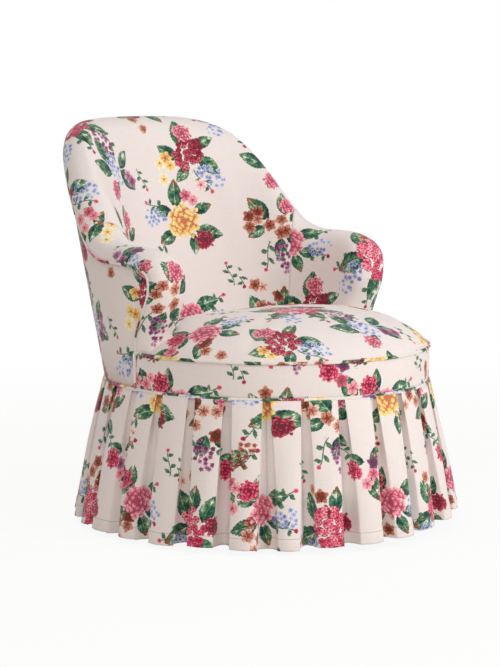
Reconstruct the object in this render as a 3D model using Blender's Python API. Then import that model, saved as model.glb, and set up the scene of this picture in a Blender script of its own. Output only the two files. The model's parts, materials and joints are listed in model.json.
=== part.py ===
"""Skirted tub chair: a round sprung seat on a timber ring, four legs under a box-pleated skirt,
and a padded shell that wraps from one arm over the rounded back to the other.

Metres, +Z up, the sitter faces -Y. Plan angles are measured from the back centre (+Y) towards +X.
The shell is laid out on a leaning middle surface: an angle and a height give a point of it,
"offset" is the distance outwards from it, "inset" is the distance inwards from the shell's
padded edge, and a "place" counts the edge's control points from the right arm's foot.
"""

import math

import bmesh
import bpy
import numpy as np

# Driving dimensions
SEAT_RADIUS = 0.348
SKIRT_HEAD = 0.310
SEAT_EDGE = 0.385
SEAT_RISE = 0.066
ARM_HEIGHT = 0.604
BACK_HEIGHT = 0.852
SHELL_HALF = 0.050
BACK_RAKE = 0.283
NOSE_ANGLE = 97.0
NOSE_FOOT_ANGLE = 90.0

# Cloth, cord and clearances
CLOTH = 0.002
GAP = 0.0003
LAYER = 0.0009
PIPING = 0.0035
EDGE_TURN = 0.030
STATION = 7.5

# Seat ring, legs and fixings
RAIL_COVERED = 0.0055
RAIL_OUTER = SEAT_RADIUS - RAIL_COVERED
RAIL_THICKNESS = 0.032
RAIL_TOP = 0.350
RAIL_DEPTH = 0.100
LEG_TOP_WIDTH = 0.046
LEG_FOOT_WIDTH = 0.032
GLIDE_RADIUS = 0.011
GLIDE_HEIGHT = 0.008
BOLT_RADIUS = 0.004
BOLT_HEAD_RADIUS = 0.009
BOLT_HEAD_HEIGHT = 0.003
BOLT_DROP = 0.050

# Shell frame, as offsets from the middle surface
FOAM_BACK = 0.0065
BACK_WEB = 0.0012
MEMBER_THICKNESS = 0.0245
BACK_MEMBER_WIDTH = 0.046
ARM_MEMBER_WIDTH = 0.036
LINER_THICKNESS = 0.003
BACK_POST_ANGLE = 36.0
ARM_POST_ANGLE = 79.0
LOWER_RAIL_HEIGHT = 0.440
LOWER_RAIL_DEPTH = 0.045
OUTSIDE_RECESS = 0.0075

# Webbing
WEB_WIDTH = 0.050
WEB_THICKNESS = 0.0014
WEB_STEP = 0.006
LONG_WEB_PITCH = 0.244 * SEAT_RADIUS
CROSS_WEB_PITCH = 0.287 * SEAT_RADIUS
CROSS_WEB_MIDDLE = 0.034 * SEAT_RADIUS
BACK_WEB_PITCH = 12.0

# Skirt
HEM_RADIUS = 0.410
HEM_HEIGHT = 0.012
PLEATS = 28
FACE_SHARE = 0.66
FOLD_SHARE = 0.035
PLEAT_DEPTH_HEAD = 0.0065
PLEAT_DEPTH_HEM = 0.022
SKIRT_CLOTH = 0.0015
SKIRT_PROUD = 0.0045
SKIRT_BELL = 0.3

BEECH = ("beech", (0.62, 0.42, 0.24), 0.55, 0.0)
STEEL = ("zinc_plated_steel", (0.62, 0.63, 0.64), 0.35, 1.0)
NYLON = ("nylon", (0.80, 0.79, 0.75), 0.45, 0.0)
JUTE = ("jute_webbing", (0.55, 0.42, 0.26), 0.9, 0.0)
FOAM = ("upholstery_foam", (0.86, 0.82, 0.68), 0.95, 0.0)
BOARD = ("millboard", (0.45, 0.38, 0.29), 0.85, 0.0)
CHINTZ = ("printed_linen", (0.82, 0.74, 0.67), 0.8, 0.0)
CAMBRIC = ("black_cambric", (0.05, 0.05, 0.05), 0.95, 0.0)

SHELL_FOOT = SEAT_EDGE + PIPING + GAP
MIDDLE_RADIUS = SEAT_RADIUS - SHELL_HALF
RAIL_INNER = RAIL_OUTER - RAIL_THICKNESS
BACK_WEB_INNER = FOAM_BACK + LAYER
MEMBER_INNER = BACK_WEB_INNER + BACK_WEB + LAYER
MEMBER_OUTER = MEMBER_INNER + MEMBER_THICKNESS
LINER_INNER = MEMBER_OUTER + 1.4 * LAYER
PIPE_INSET = EDGE_TURN + LAYER + PIPING
PANEL_INSET = PIPE_INSET + PIPING + LAYER
LINER_INSET = PANEL_INSET + CLOTH
RAIL_INSET = EDGE_TURN + 2 * LAYER


# Objects and meshes

def start_scene():
    """An empty scene holding one empty, which every piece is parented to."""
    for old in list(bpy.data.objects):
        bpy.data.objects.remove(old, do_unlink=True)
    root = bpy.data.objects.new("chair", None)
    bpy.context.scene.collection.objects.link(root)
    return root


def material(finish):
    name, colour, roughness, metallic = finish
    made = bpy.data.materials.get(name)
    if made:
        return made
    made = bpy.data.materials.new(name)
    made.use_nodes = True
    shader = made.node_tree.nodes["Principled BSDF"]
    shader.inputs["Base Color"].default_value = (*colour, 1.0)
    shader.inputs["Roughness"].default_value = roughness
    shader.inputs["Metallic"].default_value = metallic
    made.diffuse_color = (*colour, 1.0)
    return made


def piece(name, points, faces, finish, smooth=None):
    """A named object from points and faces, with its normals made to face out."""
    mesh = bpy.data.meshes.new(name)
    mesh.from_pydata([tuple(map(float, p)) for p in points], [], faces)
    shell = bmesh.new()
    shell.from_mesh(mesh)
    bmesh.ops.remove_doubles(shell, verts=shell.verts, dist=1e-6)
    bmesh.ops.recalc_face_normals(shell, faces=shell.faces)
    shell.to_mesh(mesh)
    shell.free()
    mesh.materials.append(material(finish))
    made = bpy.data.objects.new(name, mesh)
    made.parent = bpy.data.objects["chair"]
    bpy.context.scene.collection.objects.link(made)
    if smooth:
        mesh.shade_smooth()
        mesh.set_sharp_from_angle(angle=math.radians(smooth))
    return made


def as_helper(made):
    """A cutter: it shapes other pieces and isn't one itself."""
    made.hide_render = True
    made.display_type = "WIRE"
    return made


def cut(target, cutter):
    step = target.modifiers.new("cut_" + cutter.name, "BOOLEAN")
    step.operation = "DIFFERENCE"
    step.solver = "EXACT"
    step.object = cutter


def thicken(made, thickness):
    """Cloth of this thickness, growing inwards from the modelled face."""
    step = made.modifiers.new("cloth", "SOLIDIFY")
    step.thickness = thickness
    step.offset = -1.0
    step.use_even_offset = True
    step.use_quality_normals = True


def at(angle, radius, height):
    """The point at a plan angle in degrees, a radius and a height."""
    turn = math.radians(angle)
    return np.array([radius * math.sin(turn), radius * math.cos(turn), height])


def loft(name, rings, finish, smooth=40, closed=True, faces=None):
    """A solid between rings of equally many points; the first and last ring are capped.
    With closed=False each ring is an open strip and the caller passes the faces that close it."""
    rings = [np.asarray(ring, float) for ring in rings]
    count = len(rings[0])
    points = np.concatenate(rings)
    made = list(faces or [])
    for level in range(len(rings) - 1):
        for k in range(count if closed else count - 1):
            after = (k + 1) % count
            low, high = level * count, (level + 1) * count
            made.append((low + k, low + after, high + after, high + k))
    if closed:
        made.append(tuple(range(count)))
        made.append(tuple((len(rings) - 1) * count + k for k in range(count)))
    return piece(name, points, made, finish, smooth)


def turned(name, profile, sides, finish, smooth=40):
    """A solid of revolution about Z from (radius, height) pairs that start and end on the axis."""
    points = [np.array([0, 0, profile[0][1]]), np.array([0, 0, profile[-1][1]])]
    rings = profile[1:-1]
    for radius, height in rings:
        points += [at(360 * k / sides, radius, height) for k in range(sides)]
    faces = []
    for k in range(sides):
        after = (k + 1) % sides
        faces.append((0, 2 + k, 2 + after))
        last = 2 + (len(rings) - 1) * sides
        faces.append((1, last + after, last + k))
        for level in range(len(rings) - 1):
            low, high = 2 + level * sides, 2 + (level + 1) * sides
            faces.append((low + k, low + after, high + after, high + k))
    return piece(name, points, faces, finish, smooth)


def tube(name, path, radius, sides, finish, closed=False):
    """A round cord along a path. The section is carried along without twisting."""
    path = np.asarray(path, float)
    count = len(path)
    before = np.roll(path, 1, axis=0) if closed else np.vstack([path[:1], path[:-1]])
    after = np.roll(path, -1, axis=0) if closed else np.vstack([path[1:], path[-1:]])
    along = after - before
    along /= np.linalg.norm(along, axis=1)[:, None]
    side = np.cross(along[0], [0.0, 0.0, 1.0])
    if np.linalg.norm(side) < 0.1:
        side = np.cross(along[0], [1.0, 0.0, 0.0])
    rings = []
    for point, run in zip(path, along):
        side = side - run * (side @ run)
        side /= np.linalg.norm(side)
        up = np.cross(run, side)
        turns = [2 * math.pi * k / sides for k in range(sides)]
        rings.append([point + radius * (math.cos(t) * side + math.sin(t) * up) for t in turns])
    if not closed:
        return loft(name, rings, finish, 60)
    points = np.concatenate(rings)
    faces = []
    for level in range(count):
        low, high = level * sides, (level + 1) % count * sides
        for k in range(sides):
            step = (k + 1) % sides
            faces.append((low + k, low + step, high + step, high + k))
    return piece(name, points, faces, finish, 60)


# The shell's middle surface and its padded edge

def rake(angle):
    """The middle surface's outward lean at a plan angle. It fades out beyond the arm fronts."""
    return BACK_RAKE * np.cos(np.radians(0.9 * np.clip(np.abs(angle), 0, 100))) ** 1.3


def middle_radius(angle, height):
    return MIDDLE_RADIUS + rake(angle) * (np.asarray(height) - SKIRT_HEAD)


def shell_point(angle, height, offset):
    """Points at plan angles, heights and level offsets from the middle surface."""
    angle, height = np.asarray(angle, float), np.asarray(height, float)
    radius = middle_radius(angle, height) + np.asarray(offset) * np.sqrt(1 + rake(angle) ** 2)
    turn = np.radians(angle)
    return np.stack([radius * np.sin(turn), radius * np.cos(turn), height + 0 * radius], -1)


def smooth_curve(points, steps):
    """A smooth curve through the points, as many steps between each two."""
    points = np.asarray(points, float)
    ends = np.vstack([2 * points[0] - points[1], points, 2 * points[-1] - points[-2]])
    share = np.linspace(0, 1, steps, endpoint=False)[:, None]
    found = []
    for a, b, c, d in zip(ends, ends[1:], ends[2:], ends[3:]):
        found.append(0.5 * (2 * b + (c - a) * share + (2 * a - 5 * b + 4 * c - d) * share**2
                            + (3 * b - a - 3 * c + d) * share**3))
    return np.vstack([*found, points[-1:]])


def edge_profile():
    """Control points of the padded edge, (angle, height), from the right arm's foot over its
    bulging nose and along its top, then up in one long S to the back's top centre."""
    lift, rise = ARM_HEIGHT - SHELL_FOOT, BACK_HEIGHT - ARM_HEIGHT
    bulge = NOSE_ANGLE - NOSE_FOOT_ANGLE
    nose = [(0.00, 0.00), (0.04, 0.10), (0.43, 0.29), (0.86, 0.48), (1.00, 0.645),
            (0.86, 0.795), (0.36, 0.90), (-0.42, 0.965)]
    points = [(NOSE_FOOT_ANGLE + bulge * a, SHELL_FOOT + lift * h) for a, h in nose]
    sweep = [(80, -0.006), (73, 0.0), (66, 0.004), (60, 0.058), (55, 0.165), (50, 0.32),
             (43, 0.555), (36, 0.755), (29, 0.89), (20, 0.97), (10, 0.995), (0, 1.0)]
    return points + [(angle, ARM_HEIGHT + rise * share) for angle, share in sweep]


PROFILE = edge_profile()
FINE = 10
EDGE = smooth_curve(PROFILE, FINE)
CORNER = 6
SEAM = 12
OUTSIDE_SEAM = 15
TOP = len(PROFILE) - 1
SEAM_ANGLE = PROFILE[SEAM][0]
OUTSIDE_SEAM_ANGLE = PROFILE[OUTSIDE_SEAM][0]
ARM_PLACES = list(range(SEAM - 1))
BACK_PLACES = [SEAM + 1 + k / 2 for k in range(2 * (TOP - SEAM) - 1)]
CLEAR_BEFORE, CLEAR_AFTER = 0.6, 0.4
EDGE_POINTS = shell_point(*np.vstack([EDGE, EDGE[-2::-1] * [-1, 1]]).T, 0.0)


def inset(distance):
    """The right half of the edge, moved along the middle surface into the shell."""
    metres = np.radians(middle_radius(EDGE[:, 0], EDGE[:, 1]))
    run = np.gradient(EDGE * np.stack([metres, 1 + 0 * metres], -1), axis=0)
    run /= np.linalg.norm(run, axis=1)[:, None]
    return EDGE + distance * np.stack([-run[:, 1] / metres, run[:, 0]], -1)


def edge_at(places, distance=0.0):
    """(angle, height) at places of the edge, inset by a distance. Places past the top are
    those of the left half, counted on from it."""
    places = np.asarray(places, float)
    curve = inset(distance)
    folded = np.where(places > TOP, 2 * TOP - places, places) * FINE
    found = np.stack([np.interp(folded, np.arange(len(curve)), curve[:, k]) for k in (0, 1)], -1)
    found[places > TOP, 0] *= -1
    return found


def place_of(angle, distance=0.0):
    """The place past the nose where the inset edge passes a plan angle."""
    curve = inset(distance)[(CORNER + 1) * FINE:]
    return CORNER + 1 + np.interp(-angle, -curve[:, 0], np.arange(len(curve))) / FINE


def depth_in_shell(angle, height):
    """How far points of the middle surface lie from the padded edge."""
    points = shell_point(angle, height, 0.0)
    nearest = np.full(points.shape[:-1], 9.0)
    for a, b in zip(EDGE_POINTS[:-1], EDGE_POINTS[1:]):
        run = b - a
        share = np.clip(((points - a) @ run) / (run @ run), 0, 1)
        nearest = np.minimum(nearest, np.linalg.norm(points - a - share[..., None] * run, axis=-1))
    return nearest


def half_thickness(depth):
    """The pad's half thickness at a depth from its edge: a full round nose."""
    inwards = np.clip(1 - np.asarray(depth) / SHELL_HALF, 0, 1)
    return SHELL_HALF * (1 - inwards**2.4) ** (1 / 2.4)


def height_at_depth(angle, depth):
    """The height at a plan angle where the shell is this deep under its edge."""
    low, high = SHELL_FOOT, float(edge_at([place_of(abs(angle))])[0, 1])
    for _ in range(30):
        mid = (low + high) / 2
        deep = depth_in_shell(float(angle), mid) > depth
        low, high = (mid, high) if deep else (low, mid)
    return low


def angle_width(width, height, angle):
    """The plan angle that a width takes at a height of the middle surface."""
    return math.degrees(width / middle_radius(angle, height))


# Grids over the shell

def seam_places(distance, inner=True):
    """The edge's places on both sides of a seam, and the seam's own, where the edge is inset.
    They keep their number at the inner seam, so that rings at unlike insets can be joined."""
    seam = place_of(SEAM_ANGLE if inner else OUTSIDE_SEAM_ANGLE, distance)
    if inner:
        before, after = ARM_PLACES, BACK_PLACES
    else:
        every = ARM_PLACES + [SEAM - 1, SEAM] + BACK_PLACES
        before = [p for p in every if p < seam - CLEAR_BEFORE]
        after = [p for p in every if p > seam + CLEAR_AFTER]
    return [*before, (before[-1] + seam) / 2], seam, [(seam + after[0]) / 2, *after]


def arm_border(distance, foot, seam_angle, inner):
    """The inset edge of the right arm from its foot to a seam, at the edge's own places."""
    before, seam, _ = seam_places(distance, inner)
    border = edge_at([*before, seam], distance)
    border[0, 1] = foot
    border[-1, 0] = seam_angle
    return border


def back_border(distance, seam_angle, inner):
    """The inset edge of the back from its right seam over the top to its left one."""
    _, seam, after = seam_places(distance, inner)
    border = edge_at([seam, *after], distance)
    border[0, 0] = seam_angle
    return np.vstack([border, border[-2::-1] * [-1, 1]])


def border_of(kind, distance, foot, inner=True):
    """The inset edge of an arm or the back. Inner covers meet at one seam, outer at another."""
    angle = SEAM_ANGLE if inner else OUTSIDE_SEAM_ANGLE
    clear = math.degrees(LAYER / 2 / MIDDLE_RADIUS)
    if kind == "arm":
        return arm_border(distance, foot, angle + clear, inner)
    return back_border(distance, angle - clear, inner)


def grid_inside(kind, border, foot, rows):
    """A grid of (angle, height) whose last row, and for an arm whose last column too, is the
    border. Its columns stand upright at the seams and lean with the nose at the arm's front."""
    if kind == "back":
        share = np.linspace(0, 1, rows)[None, :, None]
        bottom = np.stack([border[:, 0], np.full(len(border), foot)], -1)
        return bottom[:, None] * (1 - share) + border[:, None] * share
    front, top = border[:CORNER + 1], border[CORNER:][::-1]
    rise = (front[:, 1] - foot) / (front[-1, 1] - foot)
    side = np.stack([np.full(len(front), top[0, 0]), foot + rise * (top[0, 1] - foot)], -1)
    across = (top[:, 0] - top[0, 0]) / (top[-1, 0] - top[0, 0])
    base = np.stack([side[0, 0] + across * (front[0, 0] - side[0, 0]),
                     np.full(len(top), foot)], -1)
    u, v = across[:, None, None], rise[None, :, None]
    ruled = (1 - v) * base[:, None] + v * top[:, None] + (1 - u) * side[None] + u * front[None]
    corners = (1 - v) * ((1 - u) * side[0] + u * front[0])
    return ruled - corners - v * ((1 - u) * side[-1] + u * front[-1])


def grid_border(kind, index):
    """The indices of a grid's padded border, in the border's own order."""
    if kind == "back":
        return list(index[:, -1])
    return list(index[-1]) + list(index[-2::-1, -1])


def mirrored(points):
    return np.asarray(points) * [-1, 1, 1]


def grid_faces(index):
    return [(a, b, d, c) for row, after in zip(index, index[1:])
            for a, b, c, d in zip(row, after, row[1:], after[1:])]


def strip_faces(first, second):
    return [(a, b, d, c) for a, b, c, d in zip(first, first[1:], second, second[1:])]


# Soft shell pieces

INNER_ROWS = (0.0015, 0.007, 0.018)
INNER_DEPTH = 0.034
OUTER_SHARES = (0.05, 0.28, 0.62, 1.0)
BACK_ROWS = 6


class PadSurface:
    """The face of an arm's or the back's pad: a grid on the inside, rings over the padded edge
    and the turned edge outside. "sunk" moves the whole face into the pad."""

    def __init__(self, kind, sunk=0.0):
        self.kind = kind
        self.foot = SHELL_FOOT
        border = border_of(kind, INNER_DEPTH, self.foot)
        grid = grid_inside(kind, border, self.foot, BACK_ROWS)
        depth = depth_in_shell(grid[..., 0], grid[..., 1])
        offset = -half_thickness(depth)
        self.index = np.arange(grid.shape[0] * grid.shape[1]).reshape(grid.shape[:2])
        self.faces = grid_faces(self.index)
        self.rows = [grid_border(kind, self.index)]
        blocks = [shell_point(grid[..., 0], grid[..., 1], offset).reshape(-1, 3)]
        count = self.index.size
        rings = [(d, -1) for d in reversed(INNER_ROWS)]
        rings += [(EDGE_TURN * share, 1) for share in OUTER_SHARES]
        for deep, side in rings:
            ring = border_of(kind, deep, self.foot)
            blocks.append(shell_point(ring[:, 0], ring[:, 1], side * half_thickness(deep)))
            row = list(range(count, count + len(ring)))
            self.faces += strip_faces(self.rows[-1], row)
            self.rows.append(row)
            count += len(ring)
        self.points = np.vstack(blocks)
        if sunk:
            self.sink(sunk)

    def sink(self, depth):
        """Moves the face evenly inwards, each seam within its own plane and the foot level."""
        mesh = bpy.data.meshes.new("scratch")
        mesh.from_pydata([tuple(map(float, p)) for p in self.points], [], self.faces)
        face = bmesh.new()
        face.from_mesh(mesh)
        bmesh.ops.recalc_face_normals(face, faces=face.faces)
        face.verts.ensure_lookup_table()
        face.normal_update()
        normals = np.array([v.normal for v in face.verts])
        face.free()
        bpy.data.meshes.remove(mesh)
        probe = self.index[len(self.index) // 2, 1]
        inner = self.points[probe] * [1, 1, 0]
        if normals[probe] @ inner > 0:
            normals = -normals
        seams, feet = self.seam_lines()
        edge = np.concatenate(seams)
        turn = self.points[edge] * [1, 1, 0]
        turn /= np.linalg.norm(turn, axis=1)[:, None]
        across = np.cross(turn, [0, 0, 1])
        normals[edge] -= across * np.sum(normals[edge] * across, axis=1)[:, None]
        normals[feet, 2] = 0
        self.points = self.points - depth * normals / np.sum(normals**2, axis=1)[:, None]

    def seam_lines(self):
        """Each seam from foot to turned edge, and every point along the foot."""
        near = list(self.index[0]) + [row[-1 if self.kind == "arm" else 0]
                                      for row in self.rows[1:]]
        seams, feet = [near], list(self.index[:, 0])
        if self.kind == "arm":
            feet += [row[0] for row in self.rows[1:]]
        else:
            seams.append(list(self.index[-1]) + [row[-1] for row in self.rows[1:]])
        return seams, feet


def inside_cover(name, kind, side):
    """The cloth of an arm's or the back's inside, over the padded edge to the piping."""
    face, under = PadSurface(kind), PadSurface(kind, CLOTH)
    count = len(face.points)
    faces = face.faces + [tuple(k + count for k in f) for f in face.faces]
    seams, _ = face.seam_lines()
    rims = seams + [list(face.index[:, 0]), face.rows[-1]]
    if kind == "arm":
        rims.append([row[0] for row in face.rows])
    for rim in rims:
        faces += strip_faces(rim, [k + count for k in rim])
    points = np.vstack([face.points, under.points])
    return piece(name, points if side > 0 else mirrored(points), faces, CHINTZ, 60)


def shell_foam(name, kind, side):
    """The pad of an arm or the back: its face lies under the cover, its back is a level seat
    for the webbing and the timber frame."""
    face = PadSurface(kind, CLOTH + LAYER)
    border = border_of(kind, EDGE_TURN, face.foot)
    grid = grid_inside(kind, border, face.foot, BACK_ROWS)
    back = shell_point(grid[..., 0], grid[..., 1], FOAM_BACK).reshape(-1, 3)
    base = len(face.points)
    index = base + np.arange(len(back)).reshape(grid.shape[:2])
    rim = grid_border(kind, index)
    faces = face.faces + grid_faces(index) + strip_faces(face.rows[-1], rim)
    faces += strip_faces(list(face.index[:, 0]), list(index[:, 0]))
    seams, _ = face.seam_lines()
    for seam, column in zip(seams, (index[0], index[-1])):
        inner = len(face.index[0])
        faces += strip_faces(seam[:inner], list(column))
        faces.append(tuple(seam[inner - 1:] + [column[-1]]))
    if kind == "arm":
        faces.append(tuple([row[0] for row in face.rows] + [rim[0]]))
    points = np.vstack([face.points, back])
    return piece(name, points if side > 0 else mirrored(points), faces, FOAM, 60)


def slab(name, grid, inner, outer, finish, side=1, smooth=60):
    """A solid over a grid between two offsets, each a number or an array over the grid."""
    shape = grid.shape[:2]
    count = shape[0] * shape[1]
    points = np.vstack([shell_point(grid[..., 0], grid[..., 1], np.broadcast_to(w, shape))
                        .reshape(-1, 3) for w in (inner, outer)])
    index = np.arange(count).reshape(shape)
    faces = grid_faces(index) + grid_faces(index + count)
    for rim in (index[0], index[-1], index[:, 0], index[:, -1]):
        faces += strip_faces(list(rim), [k + count for k in rim])
    return piece(name, points if side > 0 else mirrored(points), faces, finish, smooth)


def outside_grid(kind, distance, foot):
    return grid_inside(kind, border_of(kind, distance, foot, inner=False), foot, BACK_ROWS)


def outside_cover(name, kind, side):
    """An outside panel. It lies a little under the padded roll and comes out flush below."""
    grid = outside_grid(kind, PANEL_INSET, SKIRT_HEAD + PIPING + GAP)
    deep = depth_in_shell(grid[..., 0], grid[..., 1]) - PANEL_INSET
    face = SHELL_HALF - OUTSIDE_RECESS * np.exp(-np.clip(deep, 0, None) / SHELL_HALF)
    return slab(name, grid, face - CLOTH, face, CHINTZ, side)


def outside_liner(name, kind, side):
    """Millboard on the frame, under the outside panel."""
    grid = outside_grid(kind, LINER_INSET, RAIL_TOP + GAP)
    return slab(name, grid, LINER_INNER, LINER_INNER + LINER_THICKNESS, BOARD, side)


# Shell frame

def upright(name, centre, width, depth, finish, inner, outer, foot=RAIL_TOP + GAP, rows=4):
    """An upright post or strap of a width, from its foot to a depth under the padded edge."""
    half = angle_width(width, foot, centre) / 2
    angles = np.array([centre - half, centre, centre + half])
    tops = np.array([height_at_depth(a, depth) for a in angles])
    share = np.linspace(0, 1, rows)[None]
    heights = foot + (tops - foot)[:, None] * share
    grid = np.stack([np.broadcast_to(angles[:, None], heights.shape), heights], -1)
    return slab(name, grid, inner, outer, finish, 1, 30)


def edge_rail(name, kind, width, first=0, side=1):
    """A bent rail that follows the padded edge of the back or of an arm."""
    high = border_of(kind, RAIL_INSET, SHELL_FOOT)[first:]
    low = border_of(kind, RAIL_INSET + width, SHELL_FOOT)[first:]
    rings = []
    for top, bottom in zip(high, low):
        section = ((top, MEMBER_INNER), (top, MEMBER_OUTER),
                   (bottom, MEMBER_OUTER), (bottom, MEMBER_INNER))
        ring = [shell_point(spot[0], spot[1], offset) for spot, offset in section]
        rings.append(ring if side > 0 else mirrored(ring))
    return loft(name, rings, BEECH, 30)


def shell_frame():
    """Crest rail, arm rails, four posts and the lower back rail."""
    edge_rail("crest_rail", "back", BACK_MEMBER_WIDTH)
    edge_rail("right_arm_rail", "arm", ARM_MEMBER_WIDTH, CORNER + 1)
    edge_rail("left_arm_rail", "arm", ARM_MEMBER_WIDTH, CORNER + 1, side=-1)
    back_depth = RAIL_INSET + BACK_MEMBER_WIDTH + LAYER
    arm_depth = RAIL_INSET + ARM_MEMBER_WIDTH + LAYER
    for side, name in ((1, "right"), (-1, "left")):
        upright(f"{name}_back_post", side * BACK_POST_ANGLE, BACK_MEMBER_WIDTH, back_depth,
                BEECH, MEMBER_INNER, MEMBER_OUTER)
        upright(f"{name}_arm_post", side * ARM_POST_ANGLE, ARM_MEMBER_WIDTH, arm_depth,
                BEECH, MEMBER_INNER, MEMBER_OUTER)
    clear = angle_width(GAP, RAIL_TOP, BACK_POST_ANGLE)
    reach = BACK_POST_ANGLE - angle_width(BACK_MEMBER_WIDTH, RAIL_TOP, BACK_POST_ANGLE) / 2 - clear
    angles = np.linspace(-reach, reach, 13)
    heights = np.array([LOWER_RAIL_HEIGHT, LOWER_RAIL_HEIGHT + LOWER_RAIL_DEPTH])
    grid = np.stack(np.meshgrid(angles, heights, indexing="ij"), -1)
    slab("lower_back_rail", grid, MEMBER_INNER, MEMBER_OUTER, BEECH, 1, 30)


def back_webbing():
    """Three upright straps on the inside of the lower back rail and the crest rail."""
    for k, name in enumerate(("left", "middle", "right")):
        upright(f"back_web_{name}", (k - 1) * BACK_WEB_PITCH, WEB_WIDTH,
                EDGE_TURN + BACK_MEMBER_WIDTH / 3, JUTE, BACK_WEB_INNER,
                BACK_WEB_INNER + BACK_WEB, LOWER_RAIL_HEIGHT + LOWER_RAIL_DEPTH / 4)


PIPE_OFFSET = float(half_thickness(EDGE_TURN)) - PIPING * 0.4
PIPE_FOOT_ANGLE = float(edge_at([0], PIPE_INSET)[0, 0])


def shell_piping():
    """One cord from the skirt up the right arm's front, round the back and down the left arm."""
    before, seam, after = seam_places(PIPE_INSET)
    half = edge_at([*before, seam, *after], PIPE_INSET)
    half[0] = PIPE_FOOT_ANGLE, SHELL_FOOT
    foot = SKIRT_HEAD + PIPING + GAP
    low = shell_point([PIPE_FOOT_ANGLE] * 2, [foot, (foot + SHELL_FOOT) / 2], SHELL_HALF)
    right = np.vstack([low, shell_point(half[:, 0], half[:, 1], PIPE_OFFSET)])
    tube("shell_piping", np.vstack([right, mirrored(right[-2::-1])]), PIPING, 6, CHINTZ)


# Seat

def seat_surface(radius):
    """The crowned seat's height over its edge at a radius."""
    return SEAT_RISE * (1 - (np.asarray(radius) / SEAT_RADIUS) ** 2.6)


DECK_STEP_ANGLE = NOSE_FOOT_ANGLE + 1.4
FOAM_STEP_ANGLE = PIPE_FOOT_ANGLE + 1.4
DECK_SHARES = (1.0, 0.90, 0.68)
CROWN_FLAT = 0.125


def seat_angles():
    """Plan angles of the seat's columns, close together where it goes round the arms' noses."""
    round_nose = [79.0, FOAM_STEP_ANGLE - 0.5, FOAM_STEP_ANGLE + 0.5, 87.2, 88.8,
                  NOSE_FOOT_ANGLE, NOSE_FOOT_ANGLE + 0.5, DECK_STEP_ANGLE]
    half = list(np.arange(0, 74, STATION)) + round_nose
    half += list(np.arange(13, 25) * STATION)
    return np.array(half + [-a for a in half[-2:0:-1]])


def deck_rims(clearance):
    """Where the crowned face stops at each column: at the seat's edge, or against the shell."""
    angles = seat_angles()
    swing = np.abs(angles)
    edge = SEAT_RADIUS - PIPING - clearance / 2
    rim = np.full(len(angles), MIDDLE_RADIUS - SHELL_HALF)
    room = np.where(swing > FOAM_STEP_ANGLE + 1, 2 * clearance, clearance)
    for _ in range(5):
        height = SEAT_EDGE + seat_surface(rim)
        pad = half_thickness(depth_in_shell(swing, height)) + room
        rim = middle_radius(swing, height) - pad * np.sqrt(1 + rake(swing) ** 2)
    at_foot = rim[swing == NOSE_FOOT_ANGLE][0]
    rim = np.where(swing > NOSE_FOOT_ANGLE, np.minimum(rim, at_foot), rim)
    return angles, np.where(swing > DECK_STEP_ANGLE - 0.01, edge, rim)


def deck_rings(clearance, drop):
    """Rings of the crowned face from its rim to a round one near its middle, with one point
    for each seat column."""
    angles, rims = deck_rims(clearance)
    rings = []
    for radii in [share * rims for share in DECK_SHARES] + [np.full(len(rims), CROWN_FLAT)]:
        heights = SEAT_EDGE + seat_surface(radii) - drop
        rings.append([at(a, r, z) for a, r, z in zip(angles, radii, heights)])
    return rings


def seat_foam():
    """The seat's pad: as wide as the ring in front, inside the frame's posts behind, and
    crowned above the shell's foot."""
    base = RAIL_TOP + 2 * (WEB_THICKNESS + GAP) + GAP
    lip = SEAT_EDGE - PIPING - GAP
    front = SEAT_RADIUS - CLOTH - LAYER

    def low_ring(height):
        ring = []
        for angle in seat_angles():
            behind = middle_radius(angle, height) + MEMBER_INNER - LAYER
            ring.append(at(angle, front if abs(angle) > FOAM_STEP_ANGLE else behind, height))
        return ring

    angles, rims = deck_rims(3 * LAYER)
    lean = rake(angles) * (SEAT_EDGE + seat_surface(rims) - lip)
    shoulder = [at(a, r - b, lip + GAP) for a, r, b in zip(angles, rims, lean)]
    crown = deck_rings(3 * LAYER, CLOTH + LAYER)
    middle = [at(a, 0.1 * CROWN_FLAT, SEAT_EDGE + SEAT_RISE - CLOTH - LAYER) for a in angles]
    return loft("seat_foam", [low_ring(base), low_ring(lip), shoulder, *crown, middle], FOAM, 60)


def seat_top_cover():
    """The crowned top of the seat, from its piping to where it meets the shell's inside."""
    rings = deck_rings(2 * LAYER, 0.0)
    count = len(rings[0])
    points = np.vstack([*rings, [[0, 0, SEAT_EDGE + SEAT_RISE]]])
    index = np.arange(count * len(rings)).reshape(len(rings), count)
    faces = grid_faces(np.hstack([index, index[:, :1]]))
    inner = list(index[-1])
    faces += [(a, b, len(points) - 1) for a, b in zip(inner, inner[1:] + inner[:1])]
    made = piece("seat_top_cover", points, faces, CHINTZ, 60)
    if made.data.polygons[0].normal.z < 0:
        made.data.flip_normals()
    thicken(made, CLOTH)
    return made


def seat_trim():
    """The upright band round the front of the seat, and the cord over and under it."""
    clear = math.degrees((PIPING + LAYER) / SEAT_RADIUS)
    start, stop = PIPE_FOOT_ANGLE + clear, 360 - PIPE_FOOT_ANGLE - clear
    turn = [a for a in np.arange(0, 360, STATION) if start + 1 < a < stop - 1]
    angles = [start, *turn, stop]
    low, high = SKIRT_HEAD + PIPING + GAP, SEAT_EDGE - PIPING - GAP
    outer, inner = SEAT_RADIUS, SEAT_RADIUS - CLOTH
    profile = [(inner, low), (outer, low), (outer, high), (inner, high)]
    loft("seat_band", [[at(a, r, z) for r, z in profile] for a in angles], CHINTZ)
    tube("seat_piping", [at(a, SEAT_RADIUS, SEAT_EDGE) for a in angles], PIPING, 6, CHINTZ)
    tube("skirt_piping", [at(a, SEAT_RADIUS, SKIRT_HEAD) for a in np.arange(0, 360, STATION)],
         PIPING, 6, CHINTZ, closed=True)


# Seat ring, legs, webbing

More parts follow.
